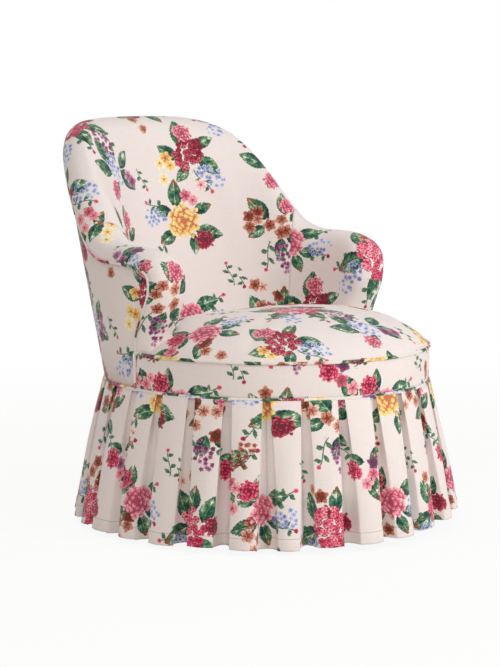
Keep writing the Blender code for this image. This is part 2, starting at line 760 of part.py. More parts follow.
RING_CHORD = math.cos(math.radians(STATION / 2))
LEG_FACE = math.sqrt((RAIL_INNER * RING_CHORD - GAP) ** 2 - (LEG_TOP_WIDTH / 2) ** 2)
LEG_ANGLES = {"front_right": 135, "back_right": 45, "back_left": 315, "front_left": 225}


def seat_ring():
    """Four laminated rails, each a quarter of the ring, that meet half way between the legs."""
    low = RAIL_TOP - RAIL_DEPTH
    profile = [(RAIL_INNER, low), (RAIL_OUTER, low), (RAIL_OUTER, RAIL_TOP), (RAIL_INNER, RAIL_TOP)]
    clear = math.degrees(GAP / 2 / RAIL_INNER)
    made = {}
    for name, angle in LEG_ANGLES.items():
        turn = [angle - 45 + clear, *np.arange(angle - 45 + STATION, angle + 44, STATION),
                angle + 45 - clear]
        rings = [[at(a, r, z) for r, z in profile] for a in turn]
        made[name] = loft(f"{name}_seat_rail", rings, BEECH, 30)
    return made


def legs():
    """Square tapered legs against the inside of the ring, each on a nylon glide."""
    made = {}
    for name, angle in LEG_ANGLES.items():
        rings = []
        for height, width in ((GLIDE_HEIGHT + GAP, LEG_FOOT_WIDTH),
                              (RAIL_TOP - RAIL_DEPTH, LEG_TOP_WIDTH),
                              (RAIL_TOP, LEG_TOP_WIDTH)):
            square = [(LEG_FACE, width / 2), (LEG_FACE, -width / 2),
                      (LEG_FACE - width, -width / 2), (LEG_FACE - width, width / 2)]
            rings.append([turned_point(angle, r, s, height) for r, s in square])
        made[name] = loft(f"{name}_leg", rings, BEECH, 30)
        spot = turned_point(angle, LEG_FACE - LEG_FOOT_WIDTH / 2, 0, 0)
        glide = turned(f"{name}_glide", [(0, 0), (GLIDE_RADIUS * 0.82, 0),
                                         (GLIDE_RADIUS, GLIDE_HEIGHT * 0.35),
                                         (GLIDE_RADIUS, GLIDE_HEIGHT), (0, GLIDE_HEIGHT)],
                       16, NYLON)
        glide.location = tuple(map(float, spot))
    return made


def turned_point(angle, radial, sideways, height):
    turn = math.radians(angle)
    out = np.array([math.sin(turn), math.cos(turn), 0])
    side = np.array([math.cos(turn), -math.sin(turn), 0])
    return out * radial + side * sideways + np.array([0, 0, height])


def radial_pin(name, angle, height, profile, sides, finish):
    """A turned piece whose axis is radial: the profile is (distance from the seat's axis, radius)."""
    rings = []
    for distance, radius in profile:
        turns = [2 * math.pi * k / sides for k in range(sides)]
        rings.append([turned_point(angle, distance, radius * math.cos(t),
                                   height + radius * math.sin(t)) for t in turns])
    return loft(name, rings, finish, 40)


def leg_bolts(rails, timber_legs):
    """A coach bolt through each rail into its leg, its head let into the rail's outer face."""
    height = RAIL_TOP - BOLT_DROP
    face = RAIL_OUTER - BOLT_HEAD_HEIGHT - 0.002
    tail = LEG_FACE - LEG_TOP_WIDTH * 0.7
    for name, angle in LEG_ANGLES.items():
        bored = [(tail - 0.002, BOLT_RADIUS + GAP), (face - GAP, BOLT_RADIUS + GAP),
                 (face - GAP, BOLT_HEAD_RADIUS + GAP), (RAIL_OUTER + 0.004, BOLT_HEAD_RADIUS + GAP)]
        bore = as_helper(radial_pin(f"{name}_bolt_bore", angle, height, bored, 12, BEECH))
        cut(rails[name], bore)
        cut(timber_legs[name], bore)
        solid = [(tail, BOLT_RADIUS), (face, BOLT_RADIUS), (face, BOLT_HEAD_RADIUS),
                 (face + BOLT_HEAD_HEIGHT * 0.6, BOLT_HEAD_RADIUS),
                 (face + BOLT_HEAD_HEIGHT, BOLT_HEAD_RADIUS * 0.55)]
        radial_pin(f"{name}_leg_bolt", angle, height, solid, 12, STEEL)


def seat_webbing():
    """Straps over and under each other across the ring, each end lying on the rails."""
    lift = WEB_THICKNESS + GAP
    base = RAIL_TOP + GAP
    long_places = [LONG_WEB_PITCH * (k - 1.5) for k in range(4)]
    cross_places = [CROSS_WEB_MIDDLE + CROSS_WEB_PITCH * (k - 2) for k in range(5)]
    reach = RAIL_INNER + RAIL_THICKNESS * 0.6

    def strap(name, place, others, phase, cross):
        end = math.sqrt(reach**2 - (abs(place) + WEB_WIDTH / 2) ** 2)
        stations = [(-end, 0)]
        for k, other in enumerate(others):
            level = (k + phase) % 2
            grip = WEB_WIDTH / 2 + WEB_STEP
            if abs(other) + grip < end:
                stations += [(other - grip, level), (other + grip, level)]
        stations.append((end, 0))
        rings = []
        for run, level in stations:
            low = base + level * lift
            section = [(-1, low), (1, low), (1, low + WEB_THICKNESS), (-1, low + WEB_THICKNESS)]
            ring = []
            for s, z in section:
                spread = place + s * WEB_WIDTH / 2
                ring.append((run, spread, z) if cross else (spread, run, z))
            rings.append(ring)
        loft(name, rings, JUTE, 30)

    for k, place in enumerate(long_places):
        strap(f"seat_web_long_{k + 1}", place, cross_places, k, False)
    for k, place in enumerate(cross_places):
        strap(f"seat_web_cross_{k + 1}", place, long_places, k + 1, True)


def dust_cover(timber_legs):
    """Black cambric under the ring, cut round the legs."""
    high = RAIL_TOP - RAIL_DEPTH - GAP
    low = high - 0.001
    radius = RAIL_OUTER - 0.004
    made = turned("dust_cover", [(0, low), (radius, low), (radius, high), (0, high)], 40, CAMBRIC)
    for name, angle in LEG_ANGLES.items():
        outer_face = LEG_FACE + LAYER
        inner_face = LEG_FACE - LEG_TOP_WIDTH - LAYER
        half = LEG_TOP_WIDTH / 2 + LAYER
        corners = [(outer_face, half), (outer_face, -half), (inner_face, -half), (inner_face, half)]
        rings = [[turned_point(angle, r, s, z) for r, s in corners]
                 for z in (low - 0.01, high + 0.01)]
        cut(made, as_helper(loft(f"{name}_leg_hole", rings, CAMBRIC)))
    return made


# Skirt

def pleat_line(share):
    """One height of the skirt: (angle, radius) pairs, five to a pleat, from hem 0 to head 1.
    Each pleat is a flat face, a fold in, a recess and a fold out."""
    swell = (1 - share) * (1 + SKIRT_BELL * share)
    face = SEAT_RADIUS + SKIRT_PROUD + (HEM_RADIUS - SEAT_RADIUS - SKIRT_PROUD) * swell
    depth = PLEAT_DEPTH_HEAD + (PLEAT_DEPTH_HEM - PLEAT_DEPTH_HEAD) * swell
    pitch = 360 / PLEATS
    found = []
    for k in range(PLEATS):
        start = (k - FACE_SHARE / 2) * pitch
        found += [(start, face),
                  (start + FACE_SHARE / 2 * pitch, face + 0.0015 * swell),
                  (start + FACE_SHARE * pitch, face),
                  (start + (FACE_SHARE + FOLD_SHARE) * pitch, face - depth),
                  (start + (1 - FOLD_SHARE) * pitch, face - depth)]
    return found


def skirt():
    """Four lengths of box pleats. Each ends in the middle of a recess, where the joins hide."""
    head = SKIRT_HEAD - PIPING - GAP
    levels = (0.0, 0.33, 0.72, 1.0)
    lines = [pleat_line(s) for s in levels]
    heights = [HEM_HEIGHT + (head - HEM_HEIGHT) * s for s in levels]
    pitch, per = 360 / PLEATS, 5
    quarter = PLEATS // 4
    shift = quarter // 2
    for q, name in enumerate(("back", "right", "front", "left")):
        first = (q * quarter - shift) % PLEATS
        points, count = [], 0
        for line_at, height in zip(lines, heights):
            row = []
            depth_radius = line_at[3][1]
            join = (1 + FACE_SHARE) / 2
            clear = math.degrees(GAP / depth_radius)
            row.append(((first - 1 + join - FACE_SHARE / 2) * pitch + clear, depth_radius))
            row.append(((first - FACE_SHARE / 2 - FOLD_SHARE) * pitch, depth_radius))
            for k in range(quarter):
                turn = (first + k) // PLEATS * 360
                base = (first + k) % PLEATS * per
                row += [(a + turn, r) for a, r in line_at[base:base + per]]
            row[-1] = ((first + quarter - 1 + join - FACE_SHARE / 2) * pitch - clear, depth_radius)
            points += [at(a, r, height) for a, r in row]
            count = len(row)
        faces = []
        for level in range(len(levels) - 1):
            for k in range(count - 1):
                low, high = level * count + k, (level + 1) * count + k
                faces.append((low, low + 1, high + 1, high))
        made = piece(f"{name}_skirt", points, faces, CHINTZ, 40)
        face = made.data.polygons[count // 2]
        if face.normal.x * face.center.x + face.normal.y * face.center.y < 0:
            made.data.flip_normals()
        thicken(made, SKIRT_CLOTH)


def settle_on_origin(root):
    """Puts the origin under the middle of the chair's box, on the floor."""
    bpy.context.view_layer.update()
    graph = bpy.context.evaluated_depsgraph_get()
    low, high = 9.0, -9.0
    for made in bpy.data.objects:
        if made.type != "MESH" or made.hide_render:
            continue
        shown = made.evaluated_get(graph)
        mesh = shown.to_mesh()
        ys = [(shown.matrix_world @ v.co).y for v in mesh.vertices]
        shown.to_mesh_clear()
        low, high = min(low, *ys), max(high, *ys)
    root.location.y = -(low + high) / 2


def main():
    root = start_scene()
    rails = seat_ring()
    timber_legs = legs()
    leg_bolts(rails, timber_legs)
    seat_webbing()
    dust_cover(timber_legs)
    shell_frame()
    back_webbing()
    seat_foam()
    seat_top_cover()
    seat_trim()
    shell_foam("back_foam", "back", 1)
    inside_cover("inside_back_cover", "back", 1)
    outside_cover("outside_back_cover", "back", 1)
    outside_liner("outside_back_liner", "back", 1)
    for side, name in ((1, "right"), (-1, "left")):
        shell_foam(f"{name}_arm_foam", "arm", side)
        inside_cover(f"{name}_inside_arm_cover", "arm", side)
        outside_cover(f"{name}_outside_arm_cover", "arm", side)
        outside_liner(f"{name}_outside_arm_liner", "arm", side)
    shell_piping()
    skirt()
    settle_on_origin(root)


main()
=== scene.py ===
"""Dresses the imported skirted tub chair: fine covers, cords and pleats over the CAD model, a printed
linen worked out in nodes, and a plain studio.

Metres, +Z up, the sitter faces -Y. Plan angles are in degrees from the back's middle (+Y) towards
+X. The shell is laid out on a leaning middle surface: an angle and a height give a point of it, an
offset is the distance outwards from it, and an inset is the distance inwards from its padded edge.
"""

from __future__ import annotations

import json
import logging
import math
from collections.abc import Sequence
from dataclasses import dataclass, field
from enum import Enum
from functools import partial
from typing import Any

import bmesh
import bpy
import numpy as np
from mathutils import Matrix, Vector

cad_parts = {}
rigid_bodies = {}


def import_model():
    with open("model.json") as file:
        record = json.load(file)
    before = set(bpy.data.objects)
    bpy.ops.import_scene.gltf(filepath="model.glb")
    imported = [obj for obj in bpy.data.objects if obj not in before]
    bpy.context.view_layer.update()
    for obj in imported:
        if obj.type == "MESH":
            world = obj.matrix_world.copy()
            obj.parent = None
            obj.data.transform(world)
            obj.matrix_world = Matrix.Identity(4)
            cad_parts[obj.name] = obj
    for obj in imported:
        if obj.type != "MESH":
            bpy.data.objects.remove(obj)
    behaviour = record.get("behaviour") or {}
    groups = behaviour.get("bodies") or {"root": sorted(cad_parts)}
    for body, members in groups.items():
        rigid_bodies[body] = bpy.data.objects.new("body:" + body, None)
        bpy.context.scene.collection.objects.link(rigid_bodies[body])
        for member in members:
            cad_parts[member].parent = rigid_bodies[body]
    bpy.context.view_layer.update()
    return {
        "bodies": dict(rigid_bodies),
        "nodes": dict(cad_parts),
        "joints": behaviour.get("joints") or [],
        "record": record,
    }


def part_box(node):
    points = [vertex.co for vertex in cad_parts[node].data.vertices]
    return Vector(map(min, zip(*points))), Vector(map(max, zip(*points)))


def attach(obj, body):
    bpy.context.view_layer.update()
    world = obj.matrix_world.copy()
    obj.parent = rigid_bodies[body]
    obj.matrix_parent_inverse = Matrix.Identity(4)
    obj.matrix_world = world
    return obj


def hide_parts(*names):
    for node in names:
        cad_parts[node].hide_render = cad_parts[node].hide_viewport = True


LOG = logging.getLogger("tub_chair")
BODY = "root"
PRINT_MAP = "print"
HEM_MAP = "hem"
PAINT_STEP = 100.0
CORD_SIDES = 12

Tree = bpy.types.NodeTree
Wire = bpy.types.NodeSocket
Values = float | np.ndarray
Entry = bpy.types.NodeSocket | float | int | tuple | None
Stops = Sequence[tuple[float, str]]


class Socket(Enum):
    """The node property that a kind's second word sets."""

    Math = "operation"
    VectorMath = "operation"
    Mapping = "vector_type"
    TexVoronoi = "feature"
    Mix = "data_type"
    TexNoise = "noise_dimensions"


def linear(colour: str) -> tuple[float, float, float, float]:
    """Turns an sRGB hex colour to the linear colour that a shader takes.

    Args:
        colour: six hex digits.

    Returns:
        Linear red, green and blue, and an alpha of 1.
    """
    shares = [int(colour[k:k + 2], 16) / 255 for k in (0, 2, 4)]
    return (*(s / 12.92 if s <= 0.04045 else ((s + 0.055) / 1.055) ** 2.4 for s in shares), 1.0)


def add(tree: Tree, kind: str, *inputs: Entry, out: int = 0, named: dict[str, Entry] | None = None,
        stops: Stops = (), **settings: Any) -> Any:
    """Adds one shader node with its settings and links.

    Args:
        tree: the material's or world's node tree.
        kind: the node's type without "ShaderNode", and after a space its operation or feature.
        inputs: what each open socket gets in turn: a socket, a value, or None to leave it.
        out: which open output to return.
        named: the same for sockets by name.
        stops: the place and hex colour of each stop of a colour ramp, in order.
        settings: properties of the node.

    Returns:
        The output socket, or the node where it has none.
    """
    base, _, step = kind.partition(" ")
    node = tree.nodes.new("ShaderNode" + base)
    if step:
        setattr(node, Socket[base].value, step)
    for key, value in settings.items():
        setattr(node, key, value)
    for number, (place, colour) in enumerate(stops):
        band = node.color_ramp.elements
        stop = band[number] if number < 1 else band.new(place)
        stop.position = place
        stop.color = linear(colour)
    if stops:
        band.remove(band[len(stops)])
    open_sockets = [s for s in node.inputs if s.enabled]
    pairs = list(zip(open_sockets, inputs)) + [(node.inputs[k], v) for k, v in (named or {}).items()]
    for socket, value in pairs:
        if isinstance(value, bpy.types.NodeSocket):
            tree.links.new(value, socket)
        elif value is not None:
            socket.default_value = value
    shown = [s for s in node.outputs if s.enabled]
    return shown[out] if shown else node


def new_material(name: str) -> tuple[bpy.types.Material, Tree]:
    """An empty node material.

    Args:
        name: the finish's name.

    Returns:
        The material and its node tree.
    """
    made = bpy.data.materials.new(name)
    made.use_nodes = True
    made.node_tree.nodes.clear()
    return made, made.node_tree


def put_in_scene(name: str, data: Any) -> bpy.types.Object:
    """Makes an object of a mesh, lamp or camera and links it.

    Args:
        name: the object's name.
        data: its data.

    Returns:
        The object.
    """
    made = bpy.data.objects.new(name, data)
    bpy.context.scene.collection.objects.link(made)
    return made


def read(items: Any, key: str, wide: int = 1, kind: type = np.float32) -> np.ndarray:
    """Reads a property of every item of a mesh.

    Args:
        items: the mesh's vertices, edges, loops or map.
        key: the property.
        wide: how many numbers it has.
        kind: the numbers' type.

    Returns:
        The numbers, all in one row.
    """
    found = np.empty(wide * len(items), dtype=kind)
    items.foreach_get(key, found)
    return found


def hump(values: Values, middle: float, spread: float) -> Values:
    """A smooth hump, 1 at its middle and next to nothing two spreads away."""
    return np.exp(-((values - middle) / spread) ** 2)


class Paint(Enum):
    """The dyes of the print's flowers, each from its deepest tone to its palest."""

    CRIMSON = ("821434", "CC365E", "EA7790", "FACBCF")
    MADDER = ("4A0F1E", "92203A", "C4455F", "EBA0A6")
    YELLOW = ("C56F4C", "EEC570", "F7E09E", "FEF6E0")
    RUST = ("4F1C16", "8F3F2A", "CF8F78", "F5E0D4")
    PLUM = ("3E1642", "7B3765", "AE7399", "E4C2D0")
    BLUE = ("565C9C", "93A2D2", "BBC8E8", "E4E9F4")
    BLUSH = ("A02C4C", "DC6F88", "F2A9B4", "FCE2DF")

    @property
    def place(self) -> int:
        """Its number in the paint box."""
        return list(Paint).index(self)


class Bloom(Enum):
    """What a bouquet is built round."""

    ROSE = "rose"
    MASS = "mass"
    SPRAY = "spray"


@dataclass(frozen=True)
class Mark:
    """One printed mark: its middle and half size in metres, its turn, and its paint's number."""

    u: float
    v: float
    turn: float
    long: float
    wide: float
    paint: int = 0


@dataclass(frozen=True)
class Bouquet:
    """A bunch of flowers in the repeat.

    Its middle and its main flower's half size are in centimetres, its turn in degrees. Its dyes
    are those of the main flower, the rose beside it, the open flowers and the trailing haze.
    """

    u: float
    v: float
    bloom: Bloom
    dyes: tuple[Paint, Paint, Paint, Paint]
    size: float
    turn: float
    leaves: int = 6
    sprigs: int = 2


@dataclass
class Chintz:
    """Rotary-printed floral linen: where each mark of the repeat goes.

    The repeat, the bunches and how they are built are this chair's own design.
    """

    repeat_u: float = 0.46
    repeat_v: float = 0.53
    seed: int = 11
    leaf_half_cm: tuple[float, float] = (2.4, 3.6)
    # Metres of a leaf's half width for each centimetre of its half length.
    leaf_width: float = 0.0057
    loose_sprigs_cm: tuple = ((1, 21), (26, 45), (45, 22))
    leaves: list[Mark] = field(default_factory=list)
    sprigs: list[Mark] = field(default_factory=list)
    florets: list[Mark] = field(default_factory=list)
    masses: list[Mark] = field(default_factory=list)
    blossoms: list[Mark] = field(default_factory=list)
    roses: list[Mark] = field(default_factory=list)

    def __post_init__(self) -> None:
        """Sets out the bunches and the loose sprigs."""
        self.draw = np.random.default_rng(self.seed)
        red, wine, gold, rust = Paint.CRIMSON, Paint.MADDER, Paint.YELLOW, Paint.RUST
        plum, blue, blush = Paint.PLUM, Paint.BLUE, Paint.BLUSH
        for bunch in (
            Bouquet(9, 9, Bloom.MASS, (red, wine, rust, blue), 4.7, 70),
            Bouquet(33, 13, Bloom.ROSE, (blush, red, rust, blue), 4.4, 200),
            Bouquet(12, 31, Bloom.SPRAY, (rust, blush, rust, plum), 4.2, 120),
            Bouquet(36, 35, Bloom.ROSE, (gold, wine, blush, blue), 5.0, 20),
            Bouquet(15, 47, Bloom.SPRAY, (blue, blush, plum, plum), 3.7, 310, 5, 1),
            Bouquet(40, 50, Bloom.MASS, (wine, blush, gold, blue), 3.8, 160, 5, 1),
            Bouquet(23, 21, Bloom.SPRAY, (plum, red, blush, rust), 2.3, 250, 3, 1),
        ):
            self.set_out(bunch)
        for u, v in self.loose_sprigs_cm:
            self.sprigs.append(Mark(u / 100, v / 100, float(self.draw.uniform(0, 360)),
                                    0.030, 0.021, int(self.draw.integers(0, 2))))

    def beside(self, bunch: Bouquet, turn: float, reach: float) -> tuple[float, float]:
        """A place beside a bunch.

        Args:
            bunch: the bunch.
            turn: the direction from its middle, in degrees.
            reach: how far off, in centimetres.

        Returns:
            Its place in the repeat, in metres.
        """
        away = math.radians(turn)
        return (bunch.u + reach * math.cos(away)) / 100, (bunch.v + reach * math.sin(away)) / 100

    def set_out(self, bunch: Bouquet) -> None:
        """Places a bunch's main flower, its leaves, its sprigs and what flowers beside it.

        Args:
            bunch: the bunch.
        """
        size, turn = bunch.size / 100, bunch.turn
        middle = bunch.u / 100, bunch.v / 100
        main, beside, opened, haze = (dye.place for dye in bunch.dyes)
        if bunch.bloom is Bloom.ROSE:
            self.roses.append(Mark(*middle, turn, size, size, main))
        elif bunch.bloom is Bloom.MASS:
            self.masses.append(Mark(*middle, turn + 60, size * 1.10, size * 0.88, main))
        else:
            kind = self.florets if bunch.dyes[0] is Paint.BLUE else self.blossoms
            kind.append(Mark(*middle, turn, size * 1.15, size * 0.72, main))
        for k in range(bunch.leaves):
            away = turn + 20 + 360 * k / bunch.leaves + self.draw.uniform(-17, 17)
            half = self.draw.uniform(*self.leaf_half_cm)
            spot = self.beside(bunch, away, bunch.size * 0.78 + half * 0.80)
            self.leaves.append(Mark(*spot, away + self.draw.uniform(-28, 28), half / 100,
                                    half * self.leaf_width, int(self.draw.integers(0, 3))))
        for k in range(bunch.sprigs):
            away = turn + 130 + 62 * k + self.draw.uniform(-12, 12)
            spot = self.beside(bunch, away, bunch.size + 3.2)
            self.sprigs.append(Mark(*spot, away, 0.036, 0.024, int(self.draw.integers(0, 2))))
        for kind, away, gap, own_turn, long, wide, dye in (
            (self.roses, -66, 1.5, turn * 2, 0.027, 0.027, beside),
            (self.blossoms, 38, 2.4, turn + 60, 0.040, 0.028, opened),
            (self.florets, 150, 3.1, turn + 162, 0.037, 0.021, haze),
        ):
            spot = self.beside(bunch, turn + away, bunch.size + gap)
            kind.append(Mark(*spot, own_turn, long, wide, dye))


@dataclass
class PrintTable:
    """The cloth under the print blocks, each of which lays its marks over the colour so far.

    spot is the place on the cloth in metres, blurred where the ink bleeds. brush is uneven
    brushwork and wash slower changes of tone, both about 0.5.
    """

    tree: Tree
    chintz: Chintz
    cloth: Wire
    spot: Wire
    brush: Wire
    wash: Wire
    petals: float = 5.0
    rose_petals: float = 4.4
    leaf_teeth: float = 31.0
    leaf_veins: float = 17.0
    leaf_greens: Stops = (
        (0.0, "0E2629"), (0.22, "1A443D"), (0.48, "33694F"), (0.74, "7B9F75"), (1.0, "C3CDA2"))
    turned_leaf: str = "9A5433"
    sprig_pace: float = 2.7
    sprig_lean: tuple[float, float] = (0.62, 0.78)
    sprig_greens: Stops = (
        (0.0, "173A33"), (0.4, "2F6650"), (0.75, "74996F"), (1.0, "AFAE7C"))

    def held(self, spot: Wire, marks: list[Mark]) -> Wire:
        """The point in the frame of whichever mark holds it, from -1 to 1 along and across.

        Args:
            spot: the place on the cloth, in metres.
            marks: the marks, the last on top.

        Returns:
            A vector whose third part is the mark's paint number over PAINT_STEP.
        """
        node = partial(add, self.tree)
        found: Entry = (1.5, 9.0, 0.0)
        half = np.array([self.chintz.repeat_u / 2, self.chintz.repeat_v / 2, 1.0])
        for mark in marks:
            middle = np.array([mark.u, mark.v, 0.0])
            near = node("VectorMath WRAP", spot, tuple(middle + half), tuple(middle - half))
            own = node("Mapping TEXTURE", near, (mark.u, mark.v, -mark.paint / PAINT_STEP),
                       (0.0, 0.0, math.radians(mark.turn)), (mark.long, mark.wide, 1.0))
            inside = node("Math LESS_THAN", node("VectorMath LENGTH", own), 1.0)
            found = node("Mix VECTOR", inside, found, own)
        return found

    def paint_box(self, paint: Wire, tone: Wire) -> Wire:
        """The dye of a flower.

        Args:
            paint: the paint's number.
            tone: its tone from 0, deep, to 1, pale.

        Returns:
            The colour socket.
        """
        node = partial(add, self.tree)
        tones = (0.06, 0.34, 0.66, 0.94)
        stops = [((k + place) / len(Paint), colour) for k, dye in enumerate(Paint)
                 for place, colour in zip(tones, dye.value)]
        kept = node("MapRange", tone, 0.0, 1.0, tones[0], tones[-1])
        share = node("Math DIVIDE", node("Math ADD", paint, kept), float(len(Paint)))
        return node("ValToRGB", share, stops=stops)

    def leaves(self) -> None:
        """Lays toothed leaves: a fine pale midrib and veins, a lighter half, some tips turned."""
        node = partial(add, self.tree)
        x, y, z = node("SeparateXYZ", self.held(self.spot, self.chintz.leaves)).node.outputs
        side = node("Math ABSOLUTE", y)
        bow = node("Math SUBTRACT", 1.0, node("Math MULTIPLY", x, x))
        lean = node("Math MULTIPLY_ADD", x, -0.22, 0.94)
        teeth = node("Math SINE", node("Math MULTIPLY", x, self.leaf_teeth))
        ragged = node("Math MULTIPLY_ADD", teeth, 0.03, -0.05)
        ragged = node("Math MULTIPLY_ADD", self.brush, 0.16, ragged)
        edge = node("Math MULTIPLY_ADD", bow, lean, ragged)
        inside = node("Math SUBTRACT", edge, side)
        cover = node("MapRange", inside, 0.0, 0.06, 0.0, 1.0)
        slant = node("Math MULTIPLY_ADD", side, -0.60, x)
        veins = node("Math SINE", node("Math MULTIPLY", slant, self.leaf_veins))
        veins = node("MapRange", veins, 0.62, 1.0, 0.0, 0.15)
        rib = node("MapRange", side, 0.02, 0.07, 0.30, 0.0)
        lines = node("Math MAXIMUM", veins, rib)
        upper = node("Math MULTIPLY_ADD", node("Math GREATER_THAN", y, 0.0), 0.17, lines)
        rim = node("MapRange", inside, 0.02, 0.16, -0.20, 0.0)
        foot = node("MapRange", x, -0.85, 0.20, -0.24, 0.0)
        shade = node("Math ADD", node("Math ADD", rim, foot), upper)
        strokes = node("Math MULTIPLY_ADD", self.brush, 0.55, -0.17)
        tone = node("Math SUBTRACT", node("Math ADD", strokes, shade), 0.22)
        tone = node("Math MULTIPLY_ADD", self.wash, 1.10, tone)
        green = node("ValToRGB", tone, stops=self.leaf_greens)
        turned = node("Math MULTIPLY", node("MapRange", x, 0.35, 0.85, 0.0, 0.75),
                      node("Math GREATER_THAN", z, 1.5 / PAINT_STEP))
        green = node("Mix RGBA", turned, green, linear(self.turned_leaf))
        self.cloth = node("Mix RGBA", cover, self.cloth, green)

    def sprigs(self) -> None:
        """Lays bent stems with small leaves to either side and a bud at the end."""
        node = partial(add, self.tree)
        x, y, z = node("SeparateXYZ", self.held(self.spot, self.chintz.sprigs)).node.outputs
        bend = node("Math SINE", node("Math MULTIPLY", x, 2.2))
        high = node("Math MULTIPLY_ADD", bend, -0.16, node("Math MULTIPLY", y, 0.56))
        stem = node("MapRange", node("Math ABSOLUTE", high), 0.016, 0.040, 1.0, 0.0)
        stem = node("Math MULTIPLY", stem, node("Math LESS_THAN", x, 0.75))
        pace = node("Math MULTIPLY_ADD", x, self.sprig_pace, 9.0)
        odd = node("Math MODULO", node("Math FLOOR", pace), 2.0)
        odd = node("Math MULTIPLY_ADD", odd, 2.0, -1.0)
        along = node("Math DIVIDE", node("Math FRACT", pace), self.sprig_pace)
        out = node("Math MULTIPLY", high, odd)
        across, up = self.sprig_lean
        run = node("Math ADD", node("Math MULTIPLY", along, across),
                   node("Math MULTIPLY", out, up))
        wide = node("Math SUBTRACT", node("Math MULTIPLY", along, up),
                    node("Math MULTIPLY", out, across))
        share = node("MapRange", run, 0.02, 0.50, 0.0, 1.0)
        bow = node("Math SINE", node("Math MULTIPLY", share, math.pi))
        blade = node("Math MULTIPLY_ADD", bow, 0.15, -0.012)
        blade = node("Math SUBTRACT", blade, node("Math ABSOLUTE", wide))
        blade = node("MapRange", blade, 0.0, 0.02, 0.0, 1.0)
        blade = node("Math MULTIPLY", blade, node("Math LESS_THAN", x, 0.62))
        green = node("Math MULTIPLY_ADD", share, 0.4, node("Math MULTIPLY", self.brush, 0.6))
        green = node("ValToRGB", green, stops=self.sprig_greens)
        self.cloth = node("Mix RGBA", node("Math MAXIMUM", stem, blade), self.cloth, green)
        bud = node("CombineXYZ", node("Math MULTIPLY_ADD", x, 6.4, -5.2),
                   node("Math MULTIPLY", high, 8.0), 0.0)
        far = node("VectorMath LENGTH", bud)
        cover = node("MapRange", far, 0.8, 1.0, 1.0, 0.0)
        tone = node("Math MULTIPLY_ADD", far, 0.55, node("Math MULTIPLY", self.brush, 0.4))
        dye = self.paint_box(node("Math MULTIPLY", z, PAINT_STEP), tone)
        self.cloth = node("Mix RGBA", cover, self.cloth, dye)

    def flowers(self, marks: list[Mark], size_mm: float, heart_dye: str, massed: bool) -> None:
        """Lays small flowers packed in each mark. A flower is whole if its middle is in the mark.

        Args:
            marks: the marks that hold the flowers.
            size_mm: the flowers' spacing in millimetres.
            heart_dye: the hex colour of each flower's heart.
            massed: whether the ground between them is painted.
        """
        node = partial(add, self.tree)
        pace = 1000.0 / size_mm
        cells = node("TexVoronoi F1", self.spot, named={"Scale": pace, "Randomness": 0.85},
                     voronoi_dimensions="2D").node
        near = cells.outputs["Position"]
        chance, other_chance, _ = node("SeparateColor", cells.outputs["Color"]).node.outputs
        held = self.held(near, marks)
        inside = node("Math LESS_THAN", node("VectorMath LENGTH", held), 1.0)
        along, _, number = node("SeparateXYZ", held).node.outputs
        paint = node("Math MULTIPLY", number, PAINT_STEP)
        offset = node("VectorMath SCALE", node("VectorMath SUBTRACT", self.spot, near),
                      named={"Scale": pace})
        far = node("VectorMath LENGTH", offset)
        across, up, _ = node("SeparateXYZ", offset).node.outputs
        turn = node("Math MULTIPLY_ADD", chance, 6.28, node("Math ARCTAN2", up, across))
        lobes = node("Math COSINE", node("Math MULTIPLY", turn, self.petals))
        frayed = node("Math MULTIPLY_ADD", self.brush, 0.16, 0.40)
        reach = node("Math MULTIPLY_ADD", lobes, 0.085, frayed)
        petal = node("MapRange", node("Math SUBTRACT", reach, far), 0.0, 0.05, 0.0, 1.0)
        tone = node("Math MULTIPLY_ADD", other_chance, 0.50, -0.40)
        tone = node("Math MULTIPLY_ADD", self.brush, 0.8, tone)
        tone = node("Math MULTIPLY_ADD", node("Math DIVIDE", far, reach), 0.58, tone)
        crease = node("MapRange", lobes, -1.0, -0.45, -0.42, 0.0)
        tone = node("Math MULTIPLY_ADD", along, 0.20, node("Math ADD", crease, tone))
        if massed:
            shade = self.paint_box(paint, node("Math MULTIPLY", self.brush, 0.35))
            ground = node("MapRange", far, 0.60, 0.66, 1.0, 0.0)
            ground = node("Math MULTIPLY", inside, ground)
            self.cloth = node("Mix RGBA", ground, self.cloth, shade)
        cover = node("Math MULTIPLY", petal, inside)
        self.cloth = node("Mix RGBA", cover, self.cloth, self.paint_box(paint, tone))
        eye = node("Math MULTIPLY", node("MapRange", far, 0.05, 0.10, 0.8, 0.0), inside)
        self.cloth = node("Mix RGBA", eye, self.cloth, linear(heart_dye))

